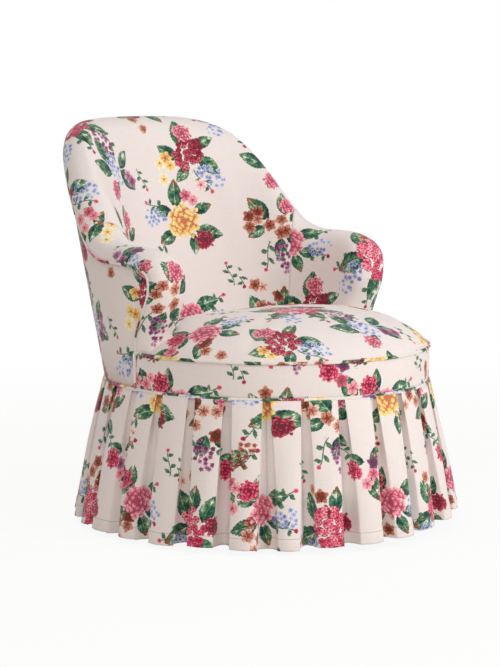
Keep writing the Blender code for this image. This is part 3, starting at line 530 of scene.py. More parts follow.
    def roses(self) -> None:
        """Lays full-blown roses: petals packed round a heart, deep at the foot, pale at the rim."""
        node = partial(add, self.tree)
        held = self.held(self.spot, self.chintz.roses)
        paint = node("Math MULTIPLY", node("SeparateXYZ", held, out=2), PAINT_STEP)
        level = node("VectorMath MULTIPLY", held, (1, 1, 0))
        far = node("VectorMath LENGTH", level)
        cells = node("TexVoronoi F1", level, voronoi_dimensions="2D", named={
            "Scale": self.rose_petals, "Randomness": 0.9}).node
        middle = cells.outputs["Position"]
        chance = node("SeparateColor", cells.outputs["Color"])
        offset = node("VectorMath SCALE", node("VectorMath SUBTRACT", level, middle),
                      named={"Scale": self.rose_petals})
        rise = node("VectorMath DOT_PRODUCT", offset, node("VectorMath NORMALIZE", middle))
        away = node("VectorMath LENGTH", offset)
        whole = node("Math LESS_THAN", node("VectorMath LENGTH", middle), 0.84)
        petal = node("Math MULTIPLY", whole, node("MapRange", away, 0.54, 0.60, 1.0, 0.0))
        heart = node("MapRange", far, 0.66, 0.70, 1.0, 0.0)
        cover = node("Math MAXIMUM", petal, heart)
        tone = node("Math MULTIPLY_ADD", chance, 0.26, -0.08)
        tone = node("Math MULTIPLY_ADD", self.brush, 0.70, tone)
        tone = node("Math MULTIPLY_ADD", rise, 0.85, tone)
        crease = node("MapRange", away, 0.44, 0.62, 0.0, -0.45)
        depth = node("MapRange", far, 0.05, 0.55, -0.24, 0.04)
        tone = node("Math ADD", tone, node("Math ADD", crease, depth))
        self.cloth = node("Mix RGBA", cover, self.cloth, self.paint_box(paint, tone))


@dataclass(frozen=True)
class PrintedLinen:
    """Linen and cotton union, plain weave, printed and lightly calendered.

    The weave breaks up the light so it has no gloss, slubs show as faint streaks along both
    threads, and the ink lies in the cloth, so a print's edge is soft and slightly broken.
    """

    ground: str = "EBE3E1"
    slub: str = "D8C9BD"
    stitch: str = "A08C7C"
    roughness: float = 0.86
    sheen: float = 0.18
    slub_long_mm: float = 38.0
    slub_wide_mm: float = 1.5
    # The threads lie 0.6 mm apart, which is too fine to show: they are drawn three times as coarse.
    thread_mm: float = 1.8
    brush_mm: float = 3.8
    wash_mm: float = 15.0
    bleed_mm: float = 3.0
    bleed_reach_mm: float = 1.4
    floret_mm: float = 11.0
    floret_heart: str = "6A4E86"
    blossom_mm: float = 31.0
    blossom_heart: str = "7A2E2C"
    mass_mm: float = 12.5
    mass_heart: str = "7A1836"
    hem_mm: float = 24.0
    stitch_mm: float = 4.0
    stitch_gap: float = 0.3

    def make(self) -> bpy.types.Material:
        """Builds the cloth's material.

        Returns:
            The material, whose print lies in metres on the map named in PRINT_MAP.
        """
        made, tree = new_material("printed_linen")
        node = partial(add, tree)
        spot = node("UVMap", uv_map=PRINT_MAP)
        still = (0, 0, 0)
        warp, weft = (
            node("TexNoise 2D", node("Mapping TEXTURE", spot, still, still, (across, along, 1.0)),
                 named={"Scale": 1000.0, "Detail": 2.0})
            for across, along in ((self.slub_wide_mm, self.slub_long_mm),
                                  (self.slub_long_mm, self.slub_wide_mm)))
        slubs = node("Math MULTIPLY", warp, weft)
        streak = node("MapRange", slubs, 0.27, 0.50, 0.0, 0.34)
        cloth = node("Mix RGBA", streak, linear(self.ground), linear(self.slub))
        brush, wash, weave, bleed = (
            node("TexNoise 2D", spot, out=out, named={"Scale": 1000.0 / size, "Detail": detail})
            for size, detail, out in ((self.brush_mm, 3.0, 0), (self.wash_mm, 1.0, 0),
                                      (self.thread_mm, 1.0, 0), (self.bleed_mm, 1.0, 1)))
        bleed = node("VectorMath SUBTRACT", bleed, (0.5, 0.5, 0.5))
        reach = 2 * self.bleed_reach_mm / 1000
        inked = node("VectorMath MULTIPLY_ADD", bleed, (reach, reach, 0.0), spot)
        chintz = Chintz()
        table = PrintTable(tree, chintz, cloth, inked, brush, wash)
        table.sprigs()
        table.leaves()
        table.flowers(chintz.florets, self.floret_mm, self.floret_heart, False)
        table.flowers(chintz.blossoms, self.blossom_mm, self.blossom_heart, False)
        table.flowers(chintz.masses, self.mass_mm, self.mass_heart, True)
        table.roses()
        run, up, _ = node("SeparateXYZ", node("UVMap", uv_map=HEM_MAP)).node.outputs
        line = node("Math ABSOLUTE", node("Math SUBTRACT", up, self.hem_mm / 1000))
        run = node("Math FRACT", node("Math MULTIPLY", run, 1000 / self.stitch_mm))
        sewn = node("Math MULTIPLY", node("MapRange", line, 0.0006, 0.0012, 0.6, 0.0),
                    node("Math GREATER_THAN", run, self.stitch_gap))
        cloth = node("Mix RGBA", sewn, table.cloth, linear(self.stitch))
        height = node("Math MULTIPLY_ADD", slubs, 1.4, weave)
        bump = node("Bump", named={"Strength": 0.16, "Distance": 0.0005, "Height": height})
        rough = node("MapRange", slubs, 0.15, 0.5, self.roughness - 0.05, self.roughness + 0.05)
        shader = node("BsdfPrincipled", named={
            "Base Color": cloth, "Roughness": rough, "Normal": bump, "Sheen Weight": self.sheen,
            "Sheen Roughness": 0.5, "Specular IOR Level": 0.25})
        node("OutputMaterial", shader)
        return made


@dataclass(frozen=True)
class StreakedFinish:
    """A finish whose look is a grain or weave of two tones along one way."""

    name: str
    light: str
    dark: str
    along_mm: float
    across_mm: float
    roughness: float
    metallic: float = 0.0
    bump: float = 0.3
    specular: float = 0.5

    def make(self) -> bpy.types.Material:
        """Builds the material.

        Returns:
            The material.
        """
        made, tree = new_material(self.name)
        node = partial(add, tree)
        scaled = node("Mapping TEXTURE", node("TexCoord", out=3), (0, 0, 0), (0, 0, 0),
                      (self.across_mm, self.across_mm, self.along_mm))
        grain = node("TexNoise 3D", scaled, named={"Scale": 1000.0, "Detail": 4.0})
        colour = node("ValToRGB", grain, stops=[(0.3, self.dark), (0.7, self.light)])
        bump = node("Bump", named={"Strength": self.bump, "Distance": 0.0004, "Height": grain})
        rough = node("MapRange", grain, 0.3, 0.7, self.roughness + 0.06, self.roughness - 0.06)
        shader = node("BsdfPrincipled", named={
            "Base Color": colour, "Roughness": rough, "Normal": bump,
            "Metallic": self.metallic, "Specular IOR Level": self.specular})
        node("OutputMaterial", shader)
        return made


HIDDEN_FINISHES = (
    # Steamed beech, planed: close straight grain with short flecks and a dull surface.
    StreakedFinish("beech", "C9A47C", "A87F57", 40.0, 1.2, 0.55),
    # Woven jute webbing: coarse hairy yarns, two tones of straw.
    StreakedFinish("jute_webbing", "B5946A", "7E6242", 3.0, 2.0, 0.92, bump=0.8),
    # Cut polyurethane foam: fine open cells, no gloss.
    StreakedFinish("upholstery_foam", "EADFC0", "D6C79F", 2.0, 2.0, 0.95),
    # Pressed millboard: matted grey-brown fibre.
    StreakedFinish("millboard", "87725A", "6B5945", 3.0, 3.0, 0.88),
    # Black cambric: thin cotton, a faint weave and lint.
    StreakedFinish("black_cambric", "26262A", "121214", 1.6, 1.6, 0.95),
    # Moulded nylon: even off-white with a slight satin.
    StreakedFinish("nylon", "E2DFD4", "CFCBBD", 6.0, 6.0, 0.42, bump=0.1),
    # Zinc-plated steel: bright with a faint grey crystal.
    StreakedFinish("zinc_plated_steel", "B9BCC0", "94989E", 1.5, 1.5, 0.36, 1.0, 0.1),
)


class Panel(Enum):
    """The two kinds of panel that the shell is covered with."""

    ARM = "arm"
    BACK = "back"


class Side(Enum):
    """The chair's sides, seen from the front, and the sign of X on each."""

    RIGHT = 1
    LEFT = -1


class Zone(Enum):
    """What one pleat runs through, in order."""

    FACE = "face"
    IN = "fold inwards"
    RECESS = "recess"
    OUT = "fold outwards"


@dataclass(frozen=True)
class ShellForm:
    """The padded shell's shape and the seat's sizes.

    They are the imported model's, with a softer roll at the back's wings and a fuller crown. half is
    the pad's half thickness, lean the back's rake, and pipe_inset how far inside the padded edge
    the cord runs. The edge has steps between its control points, and the one numbered corner is
    where an arm's nose turns to its top.
    """

    axis_y: float
    seat_radius: float = 0.348
    skirt_head: float = 0.310
    seat_edge: float = 0.385
    seat_rise: float = 0.072
    arm_height: float = 0.604
    back_height: float = 0.852
    half: float = 0.050
    lean: float = 0.283
    lean_pace: float = 0.9
    lean_ease: float = 1.3
    lean_end: float = 100.0
    nose_angle: float = 97.0
    nose_foot: float = 90.0
    gap: float = 0.0003
    cord: float = 0.0035
    cord_bed: float = 0.4
    pipe_depth: float = 0.030
    pipe_inset: float = 0.0344
    fullness: float = 2.4
    wing_reach: float = 0.110
    wing_angle: float = 35.0
    wing_spread: float = 13.0
    wing_ease: float = 0.4
    steps: int = 16
    corner: int = 6
    arm_spans: int = 6
    back_spans: int = 8

    @property
    def foot(self) -> float:
        """The height of the shell's inside foot, on the seat."""
        return self.seat_edge + self.cord

    @property
    def pipe_offset(self) -> float:
        """How far out of the middle surface the shell's cord runs."""
        return float(self.padding(self.pipe_depth)) - self.cord_bed * self.cord

    def rake(self, angle: Values) -> np.ndarray:
        """The middle surface's outward lean at plan angles."""
        swing = self.lean_pace * np.clip(np.abs(angle), 0, self.lean_end)
        return self.lean * np.cos(np.radians(swing)) ** self.lean_ease

    def radius(self, angle: Values, height: Values) -> np.ndarray:
        """The middle surface's radius at plan angles and heights."""
        inner = self.seat_radius - self.half
        return inner + self.rake(angle) * (np.asarray(height) - self.skirt_head)

    def point(self, angle: Values, height: Values, offset: Values) -> np.ndarray:
        """Points of the shell.

        Args:
            angle: plan angles in degrees.
            height: heights.
            offset: level distances outwards from the middle surface.

        Returns:
            Points in the row frame, one to a row.
        """
        angle, height = np.asarray(angle, float), np.asarray(height, float)
        reach = self.radius(angle, height) + np.asarray(offset) * np.sqrt(1 + self.rake(angle) ** 2)
        turn = np.radians(angle)
        return np.stack([reach * np.sin(turn), self.axis_y + reach * np.cos(turn),
                         height + 0 * reach], -1)

    def around(self, angle: float, reach: float, height: float) -> np.ndarray:
        """The point at a plan angle, a radius and a height."""
        turn = math.radians(angle)
        return np.array([reach * math.sin(turn), self.axis_y + reach * math.cos(turn), height])

    def outwards(self, angle: float) -> np.ndarray:
        """The level direction away from the seat's axis at a plan angle."""
        return self.around(angle, 1.0, 0.0) - self.around(angle, 0.0, 0.0)

    def flat(self, angle: Values, height: Values) -> np.ndarray:
        """Where points of the middle surface lie on the cloth laid flat.

        Args:
            angle: plan angles in degrees.
            height: heights.

        Returns:
            Places in metres, across and up, one to a row.
        """
        angle, height = np.asarray(angle, float), np.asarray(height, float)
        across = np.radians(angle) * self.radius(angle, height)
        return np.stack([across, height * np.sqrt(1 + self.rake(angle) ** 2)], -1)

    def padding(self, depth: Values) -> Values:
        """The pad's half thickness at depths from its edge."""
        inwards = np.clip(1 - np.asarray(depth) / self.half, 0, 1)
        return self.half * (1 - inwards**self.fullness) ** (1 / self.fullness)

    def front_pad(self, angle: Values, depth: Values) -> Values:
        """How far the inside cover lies before the middle surface, with a softer roll at the wings.

        Args:
            angle: plan angles in degrees.
            depth: depths from the padded edge.

        Returns:
            Distances.
        """
        wing = hump(np.abs(angle), self.wing_angle, self.wing_spread)
        inwards = np.clip(1 - np.asarray(depth) / (self.half + self.wing_reach * wing), 0, 1)
        power = self.fullness - self.wing_ease * wing
        return self.half * (1 - inwards**power) ** (1 / power)

    def controls(self) -> np.ndarray:
        """Sets out the padded edge: the arm's foot, its bulging nose, its top and the long S up.

        Returns:
            The edge's control points from the arm's foot to the back's top, (angle, height).
        """
        start = self.foot + self.gap
        lift, rise = self.arm_height - self.foot - self.gap, self.back_height - self.arm_height
        bulge = self.nose_angle - self.nose_foot
        nose = [(0.00, 0.00), (0.04, 0.10), (0.43, 0.29), (0.86, 0.48), (1.00, 0.645),
                (0.86, 0.795), (0.36, 0.90), (-0.42, 0.965)]
        sweep = [(80, -0.006), (73, 0.0), (66, 0.004), (60, 0.058), (55, 0.165), (50, 0.32),
                 (43, 0.560), (36, 0.766), (29, 0.900), (20, 0.975), (10, 0.996), (0, 1.0)]
        points = [(self.nose_foot + bulge * a, start + lift * h) for a, h in nose]
        return np.array(points + [(a, self.arm_height + rise * share) for a, share in sweep])

    def edge(self) -> np.ndarray:
        """Draws a smooth curve through the control points.

        Returns:
            The right half of the padded edge as fine (angle, height) rows.
        """
        points = self.controls()
        ends = np.vstack([2 * points[0] - points[1], points, 2 * points[-1] - points[-2]])
        t = np.linspace(0, 1, self.steps, endpoint=False)[:, None]
        found = []
        for a, b, c, d in zip(ends, ends[1:], ends[2:], ends[3:]):
            found.append(0.5 * (2 * b + (c - a) * t + (2 * a - 5 * b + 4 * c - d) * t**2
                                + (3 * b - a - 3 * c + d) * t**3))
        return np.vstack([*found, points[-1:]])

    def inset(self, distance: float) -> np.ndarray:
        """Moves the edge along the middle surface into the shell.

        Args:
            distance: how far.

        Returns:
            (angle, height) rows.
        """
        edge = self.edge()
        metres = np.radians(self.radius(edge[:, 0], edge[:, 1]))
        run = np.gradient(edge * np.stack([metres, 1 + 0 * metres], -1), axis=0)
        run /= np.linalg.norm(run, axis=1)[:, None]
        return edge + distance * np.stack([-run[:, 1] / metres, run[:, 0]], -1)

    def edge_at(self, places: Values, distance: float) -> np.ndarray:
        """Reads the inset edge at places of the right half.

        Args:
            places: where, counted in control points.
            distance: the inset.

        Returns:
            (angle, height) rows.
        """
        curve = self.inset(distance)
        count = np.asarray(places, float) * self.steps
        return np.stack([np.interp(count, np.arange(len(curve)), curve[:, k]) for k in (0, 1)], -1)

    def place_of(self, angle: float, distance: float) -> float:
        """Finds where the inset edge passes a plan angle, past the nose.

        Args:
            angle: the plan angle.
            distance: the inset.

        Returns:
            The place, counted in control points.
        """
        first = self.corner + 1
        curve = self.inset(distance)[first * self.steps:]
        return first + float(np.interp(-angle, -curve[:, 0], np.arange(len(curve)))) / self.steps

    def depth(self, angle: Values, height: Values) -> np.ndarray:
        """How far points of the middle surface lie from the padded edge.

        Args:
            angle: plan angles in degrees.
            height: heights.

        Returns:
            Straight distances.
        """
        half = self.edge()[::4]
        line = self.point(*np.vstack([half, half[-2::-1] * [-1, 1]]).T, 0.0)
        points = self.point(angle, height, 0.0)
        nearest = np.full(points.shape[:-1], 9.0)
        for a, b in zip(line[:-1], line[1:]):
            run = b - a
            share = np.clip(((points - a) @ run) / (run @ run), 0, 1)
            away = np.linalg.norm(points - a - share[..., None] * run, axis=-1)
            nearest = np.minimum(nearest, away)
        return nearest

    def border(self, kind: Panel, distance: float, angle: float, density: int) -> np.ndarray:
        """The inset edge of an arm, from its foot to a seam, or of the back, seam to seam.

        Args:
            kind: the right arm's panel or the back's.
            distance: the inset.
            angle: the seam's plan angle.
            density: stations between two control points.

        Returns:
            (angle, height) rows.
        """
        seam = self.place_of(angle, distance)
        corner, last = self.corner, len(self.controls()) - 1
        if kind is Panel.ARM:
            nose = np.linspace(0, corner, corner * density + 1)
            top = np.linspace(corner, seam, self.arm_spans * density + 1)[1:]
            line = self.edge_at([*nose, *top], distance)
            line[-1, 0] = angle
            return line
        line = self.edge_at(np.linspace(seam, last, self.back_spans * density + 1), distance)
        line[0, 0] = angle
        return np.vstack([line, line[-2::-1] * [-1, 1]])

    def patch(self, kind: Panel, border: np.ndarray, foot: float, rows: int,
              density: int) -> np.ndarray:
        """A grid of (angle, height) that fills a border down to its foot.

        Args:
            kind: the right arm's panel or the back's.
            border: the border, in its own order.
            foot: the foot's height.
            rows: rows of a back's grid.
            density: stations between two control points.

        Returns:
            An array whose last row, and for an arm last column too, is the border.
        """
        if kind is Panel.BACK:
            share = np.linspace(0, 1, rows)[None, :, None]
            bottom = np.stack([border[:, 0], np.full(len(border), foot)], -1)
            return bottom[:, None] * (1 - share) + border[:, None] * share
        turn = self.corner * density
        front, top = border[:turn + 1].copy(), border[turn:][::-1]
        front[0, 1] = foot
        rise = (front[:, 1] - foot) / (front[-1, 1] - foot)
        side = np.stack([np.full(len(front), top[0, 0]), foot + rise * (top[0, 1] - foot)], -1)
        across = (top[:, 0] - top[0, 0]) / (top[-1, 0] - top[0, 0])
        base = np.stack([side[0, 0] + across * (front[0, 0] - side[0, 0]),
                         np.full(len(top), foot)], -1)
        u, v = across[:, None, None], rise[None, :, None]
        ruled = (1 - v) * base[:, None] + v * top[:, None] + (1 - u) * side[None] + u * front[None]
        corners = (1 - v) * ((1 - u) * side[0] + u * front[0])
        return ruled - corners - v * ((1 - u) * side[-1] + u * front[-1])


def mirrored(points: np.ndarray) -> np.ndarray:
    """Points mirrored from the right side to the left."""
    return np.asarray(points) * [-1, 1, 1]


def numbered(rows: int, columns: int) -> np.ndarray:
    """The vertex numbers of a grid."""
    return np.arange(rows * columns).reshape(rows, columns)


def quads(index: np.ndarray) -> list[tuple[int, int, int, int]]:
    """The faces of a grid of vertex numbers."""
    return [(a, b, d, c) for row, after in zip(index.tolist(), index[1:].tolist())
            for a, b, c, d in zip(row, after, row[1:], after[1:])]


def run_lengths(path: np.ndarray) -> np.ndarray:
    """How far along a path each of its points lies."""
    return np.concatenate([[0], np.cumsum(np.linalg.norm(np.diff(path, axis=0), axis=1))])


@dataclass
class ClothPiece:
    """A piece of cloth or cord: points, faces, and where each point lies on the flat cloth."""

    name: str
    points: np.ndarray
    faces: list
    flat: np.ndarray
    thickness: float = 0.002
    hem: np.ndarray | None = None
    fitted: bool = True
    held_rim: list[int] = field(default_factory=list)
    pressure: float = 4.0
    frames: int = 20
    cap: float = 0.014

    def press(self, made: bpy.types.Object) -> None:
        """Lets the padding press the cover out against its sewn rim, by a cloth simulation.

        Args:
            made: the piece, which keeps the result as its mesh.
        """
        start = read(made.data.vertices, "co", 3).astype(float).reshape(-1, 3)
        made.vertex_groups.new(name="rim").add([int(k) for k in self.held_rim], 1.0, "REPLACE")
        cloth = made.modifiers.new("pressed", "CLOTH")
        cloth.settings.vertex_group_mass = "rim"
        cloth.settings.use_pressure = True
        cloth.settings.uniform_pressure_force = self.pressure
        cloth.settings.effector_weights.gravity = 0.0
        cloth.collision_settings.use_collision = False
        cloth.point_cache.frame_end = self.frames
        scene = bpy.context.scene
        for frame in range(1, self.frames + 1):
            scene.frame_set(frame)
        shape = made.evaluated_get(bpy.context.evaluated_depsgraph_get()).data
        moved = read(shape.vertices, "co", 3).astype(float).reshape(-1, 3) - start
        made.modifiers.remove(cloth)
        far = np.linalg.norm(moved, axis=1)
        moved *= np.minimum(1.0, self.cap / np.maximum(far, 1e-9))[:, None]
        made.data.vertices.foreach_set("co", (start + moved).astype(np.float32).ravel())
        made.data.update()
        scene.frame_set(1)
        LOG.info("%s: pressed out by up to %.1f mm, %.1f mm before the cap", self.name,
                 1000 * np.linalg.norm(moved, axis=1).max(), 1000 * far.max())

    def lay_flat(self, made: bpy.types.Object) -> None:
        """Works out how the finished shape lies flat with least stretch, turned as it was drawn.

        Args:
            made: the piece, whose print map is written over.
        """
        mesh = made.data
        drawn = read(mesh.uv_layers[PRINT_MAP].uv, "vector", 2).astype(float).view(complex)
        bpy.context.view_layer.objects.active = made
        bpy.ops.object.mode_set(mode="EDIT")
        bpy.ops.mesh.select_all(action="SELECT")
        bpy.ops.uv.unwrap(method="MINIMUM_STRETCH", margin=0.0)
        bpy.ops.object.mode_set(mode="OBJECT")
        found = read(mesh.uv_layers[PRINT_MAP].uv, "vector", 2).astype(float).view(complex)
        at = np.empty(len(mesh.vertices), dtype=complex)
        at[read(mesh.loops, "vertex_index", kind=np.int32)] = found
        ends = read(mesh.edges, "vertices", 2, np.int32).reshape(-1, 2)
        spots = read(mesh.vertices, "co", 3).reshape(-1, 3)
        real = np.linalg.norm(np.diff(spots[ends], axis=1)[:, 0], axis=1)
        laid = np.abs(np.diff(at[ends], axis=1)[:, 0])
        scale = np.sqrt((real @ real) / (laid @ laid))
        found = found - found.mean()
        turn = np.conj(found) @ (drawn - drawn.mean())
        found = found * scale * turn / abs(turn) + drawn.mean()
        mesh.uv_layers[PRINT_MAP].uv.foreach_set("vector", found.view(float).astype(np.float32))

    def build(self, material: bpy.types.Material, outward: Sequence[float],
              *nodes: str) -> bpy.types.Object:
        """Makes the object and lets it stand for its CAD node.

        Args:
            material: its finish.
            outward: roughly the way that its first face looks.
            nodes: the CAD nodes that it stands for.

        Returns:
            The object.
        """
        mesh = bpy.data.meshes.new(self.name)
        mesh.from_pydata([tuple(map(float, p)) for p in self.points], [], self.faces)
        work = bmesh.new()
        work.from_mesh(mesh)
        bmesh.ops.recalc_face_normals(work, faces=work.faces)
        work.to_mesh(mesh)
        work.free()
        if np.dot(np.array(mesh.polygons[0].normal), outward) < 0:
            mesh.flip_normals()
        corners = read(mesh.loops, "vertex_index", kind=np.int32)
        for title, places in ((PRINT_MAP, self.flat), (HEM_MAP, self.hem)):
            if places is not None:
                layer = mesh.uv_layers.new(name=title)
                layer.uv.foreach_set("vector", places[corners].astype(np.float32).ravel())
        mesh.shade_smooth()
        mesh.materials.append(material)
        made = put_in_scene(self.name, mesh)
        if self.held_rim:
            self.press(made)
        if self.fitted:
            self.lay_flat(made)
        if self.thickness:
            step = made.modifiers.new("cloth", "SOLIDIFY")
            step.thickness = self.thickness
            step.offset = -1.0
        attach(made, BODY)
        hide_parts(*nodes)
        LOG.info("%s: %d points", self.name, len(self.points))
        return made


def declare_stretched(made: bpy.types.Object) -> None:
    """Reads a tacked panel's flat layout; nothing further is done with it.

    Args:
        made: the panel.
    """
    mesh = made.data
    places = read(mesh.uv_layers[PRINT_MAP].uv, "vector", 2).reshape(-1, 2)


def cord(name: str, path: np.ndarray, radius: float, shift: tuple[float, float],
         closed: bool = False) -> ClothPiece:
    """A covered cord along a path.

    Args:
        name: the piece's name.
        path: the points that it follows.
        radius: its radius.
        shift: where on the print its covering was cut.
        closed: whether its end meets its start.

    Returns:
        The cord, with its covering's seam underneath.
    """
    path = np.asarray(path, float)
    if closed:
        path = np.vstack([path, path[:1]])
    along = np.gradient(path, axis=0)
    if closed:
        along[0] = along[-1] = path[1] - path[-2]
    along /= np.linalg.norm(along, axis=1)[:, None]
    side = np.cross(along[0], [0.0, 0.0, 1.0])
    if np.linalg.norm(side) < 0.1:
        side = np.cross(along[0], [1.0, 0.0, 0.0])
    points, flat = [], []
    turns = np.linspace(0, 2 * math.pi, CORD_SIDES + 1)
    for spot, run, length in zip(path, along, run_lengths(path)):
        side = side - run * (side @ run)
        side /= np.linalg.norm(side)
        up = np.cross(run, side)
        for turn in turns:
            points.append(spot + radius * (math.cos(turn) * side + math.sin(turn) * up))
            flat.append((shift[0] + length, shift[1] + radius * turn))
    index = numbered(len(path), CORD_SIDES + 1)
    return ClothPiece(name, np.array(points), quads(index), np.array(flat), 0.0, fitted=False)


@dataclass
class Shell:
    """The padded shell: inside covers over its edge, outside panels, and the cord between."""

    form: ShellForm
    linen: bpy.types.Material
    density: int = 6
    back_rows: int = 26
    depth: float = 0.034
    under_cord: float = 0.0012
    inner_turns: int = 9
    outer_turns: int = 7
    seam_angle: float = 55.0
    seam_width: float = 0.9
    outer_seam_angle: float = 36.0
    outer_seam_width: float = 0.7
    seam_dip: float = 0.0006
    # The gathers over an arm's front: their height, how far in from the edge they run, their
    # middle and spread in control points, and how many there are to a control point.
    pucker: float = 0.0010
    pucker_depth: float = 0.014
    pucker_place: float = 6.5
    pucker_spread: float = 2.6
    pucker_pace: float = 2.2
    foot_tuck: float = 0.016
    panel_foot: float = 0.001
    board_sink: float = 0.0075
    board_tuck: float = 0.004
    tuck_width: float = 0.0045
    # The shell's cord: control points between its stations, where it starts over the skirt's head
    # in radii, and the stations of its straight foot.
    cord_step: float = 0.2
    cord_start: float = 0.6
    drop_rows: int = 12

    def ring_plan(self) -> list[tuple[float, int]]:
        """Sets out the rings over the padded edge, from the inside to the cord.

        Returns:
            Each ring's depth from the edge, and its side: -1 inside and 1 outside.
        """
        half, power = self.form.half, 2 / self.form.fullness

        def turn_at(depth: float) -> float:
            """How far round the pad's edge has come at a depth."""
            return math.acos((1 - depth / half) ** (1 / power))

        def depth_at(turn: float) -> float:
            """The depth where the pad's edge has come this far round."""
            return half * (1 - math.cos(turn) ** power)

        deepest = turn_at(self.depth)
        outermost = turn_at(self.form.pipe_inset - self.under_cord)
        inner = [(depth_at(deepest * k / self.inner_turns), -1)
                 for k in range(self.inner_turns - 1, -1, -1)]
        outer = [(depth_at(outermost * k / self.outer_turns), 1)
                 for k in range(1, self.outer_turns + 1)]
        return inner + outer

    def inside(self, name: str, kind: Panel, side: Side,
               shift: tuple[float, float]) -> ClothPiece:
        """The inside cover of an arm or the back, over the padded edge to the cord.

        Args:
            name: the piece's name.
            kind: an arm's panel or the back's.
            side: the arm's side. The back is drawn as a right side is.
            shift: where on the print it was cut.

        Returns:
            The cover.
        """
        form = self.form
        foot = form.foot - self.foot_tuck
        border = form.border(kind, self.depth, self.seam_angle, self.density)
        grid = form.patch(kind, border, foot, self.back_rows, self.density)
        angle, height = grid[..., 0], grid[..., 1]
        offset = -form.front_pad(angle, form.depth(angle, height))
        offset += self.seam_dip * hump(np.abs(angle), self.seam_angle, self.seam_width)
        index = numbered(*grid.shape[:2])
        faces = quads(index)
        rim = list(index[:, -1])
        if kind is Panel.ARM:
            rim = list(index[-1]) + rim[-2::-1]
        blocks = [form.point(angle, height, offset).reshape(-1, 3)]
        flats = [form.flat(angle, height).reshape(-1, 2)]
        base = form.flat(border[:, 0], border[:, 1])
        away = form.flat(*form.border(kind, 0.0, self.seam_angle, self.density).T) - base
        away /= np.maximum(np.linalg.norm(away, axis=1), 1e-9)[:, None]
        last = np.array([self.depth, -float(form.padding(self.depth))])
        gone, count = 0.0, index.size
        number = np.arange(len(border)) / self.density
        gathers = hump(number, self.pucker_place, self.pucker_spread)
        gathers = self.pucker * gathers * np.cos(2 * math.pi * number * self.pucker_pace)
        for deep, way in self.ring_plan():
            ring = form.border(kind, deep, self.seam_angle, self.density)
            pad = way * float(form.padding(deep))
            gone += float(np.hypot(*(np.array([deep, pad]) - last)))
            last = np.array([deep, pad])
            offsets = np.full(len(ring), pad) if way > 0 else -form.front_pad(ring[:, 0], deep)
            if kind is Panel.ARM:
                ring[0, 1] = foot
                offsets += way * gathers * hump(deep, self.pucker_depth, self.pucker_depth)
            seam = hump(np.abs(ring[:, 0]), self.seam_angle, self.seam_width)
            offsets -= way * self.seam_dip * seam
            blocks.append(form.point(ring[:, 0], ring[:, 1], offsets))
            flats.append(base + away * gone)
            row = list(range(count, count + len(ring)))
            faces += [(a, b, d, c) for a, b, c, d in zip(rim, rim[1:], row, row[1:])]
            rim = row
            count += len(ring)
        points = np.vstack(blocks)
        flat = np.vstack(flats) * [side.value, 1] + shift
        points = points if side is Side.RIGHT else mirrored(points)
        return ClothPiece(name, points, faces, flat)

    def outside(self, name: str, kind: Panel, side: Side,
                shift: tuple[float, float]) -> ClothPiece:
        """An outside panel, tucked under the cord and the roll above it.

        Args:
            name: the piece's name.
            kind: an arm's panel or the back's.
            side: the arm's side. The back is drawn as a right side is.
            shift: where on the print it was cut.

        Returns:
            The panel.
        """
        form = self.form
        border = form.border(kind, form.pipe_inset, self.outer_seam_angle, self.density)
        foot = form.skirt_head + self.panel_foot
        grid = form.patch(kind, border, foot, self.back_rows, self.density)
        angle, height = grid[..., 0], grid[..., 1]
        deep = form.depth(angle, height) - form.pipe_inset
        sunk = np.exp(-np.clip(deep - self.tuck_width, 0, None) / form.half)
        offset = form.half - self.board_sink * sunk
        offset -= self.board_tuck * np.clip(1 - deep / self.tuck_width, 0, 1) ** 2
        offset -= self.seam_dip * hump(np.abs(angle), self.outer_seam_angle, self.outer_seam_width)
        points = form.point(angle, height, offset).reshape(-1, 3)
        flat = form.flat(angle, height).reshape(-1, 2) * [-side.value, 1] + shift
        points = points if side is Side.RIGHT else mirrored(points)
        return ClothPiece(name, points, quads(numbered(*grid.shape[:2])), flat)

    def piping(self) -> ClothPiece:
        """Lays the cord from the skirt up one arm's front, round the back and down the other.

        Returns:
            The cord.
        """
        form = self.form
        foot_angle = float(form.edge_at([0], form.pipe_inset)[0, 0])
        last = len(form.controls()) - 1
        line = form.edge_at(np.arange(0, last + 0.001, self.cord_step), form.pipe_inset)
        line[0] = foot_angle, form.foot
        start = form.skirt_head + form.cord * self.cord_start
        drop = np.linspace(start, form.foot, self.drop_rows)[:-1]
        foot = form.point(np.full(len(drop), foot_angle), drop, form.half)
        right = np.vstack([foot, form.point(line[:, 0], line[:, 1], form.pipe_offset)])
        path = np.vstack([right, mirrored(right[-2::-1])])
        return cord("shell_cord", path, form.cord, (0.03, 0.15))

    def build(self) -> list[bpy.types.Object]:
        """Builds the shell's covers and cord.

        Returns:
            The inside covers, then the outside panels, then the cord.
        """
        made = []
        arm, back, right, left = Panel.ARM, Panel.BACK, Side.RIGHT, Side.LEFT
        for name, kind, side, shift, outward, nodes in (
            ("inside_back", back, right, (0.30, -0.30), (0, -1.0, 0), ["back_foam"]),
            ("right_inside_arm", arm, right, (0.02, 0.07), (-1, -0.7, 0), []),
            ("left_inside_arm", arm, left, (0.21, 0.33), (1, -0.7, 0), []),
        ):
            cover = self.inside(name, kind, side, shift)
            made.append(cover.build(self.linen, outward, f"{name}_cover", *nodes))
        for name, kind, side, shift, outward in (
            ("outside_back", back, right, (0.1, 0.2), (0, 1.0, 0)),
            ("right_outside_arm", arm, right, (0.4, 0.1), (1, 0.6, 0)),
            ("left_outside_arm", arm, left, (0.33, 0.02), (-1, 0.6, 0)),
        ):
            panel = self.outside(name, kind, side, shift)
            made.append(panel.build(self.linen, outward, f"{name}_cover"))
            declare_stretched(made[-1])
        made.append(self.piping().build(self.linen, (0, 0, 0), "shell_piping"))
        return made


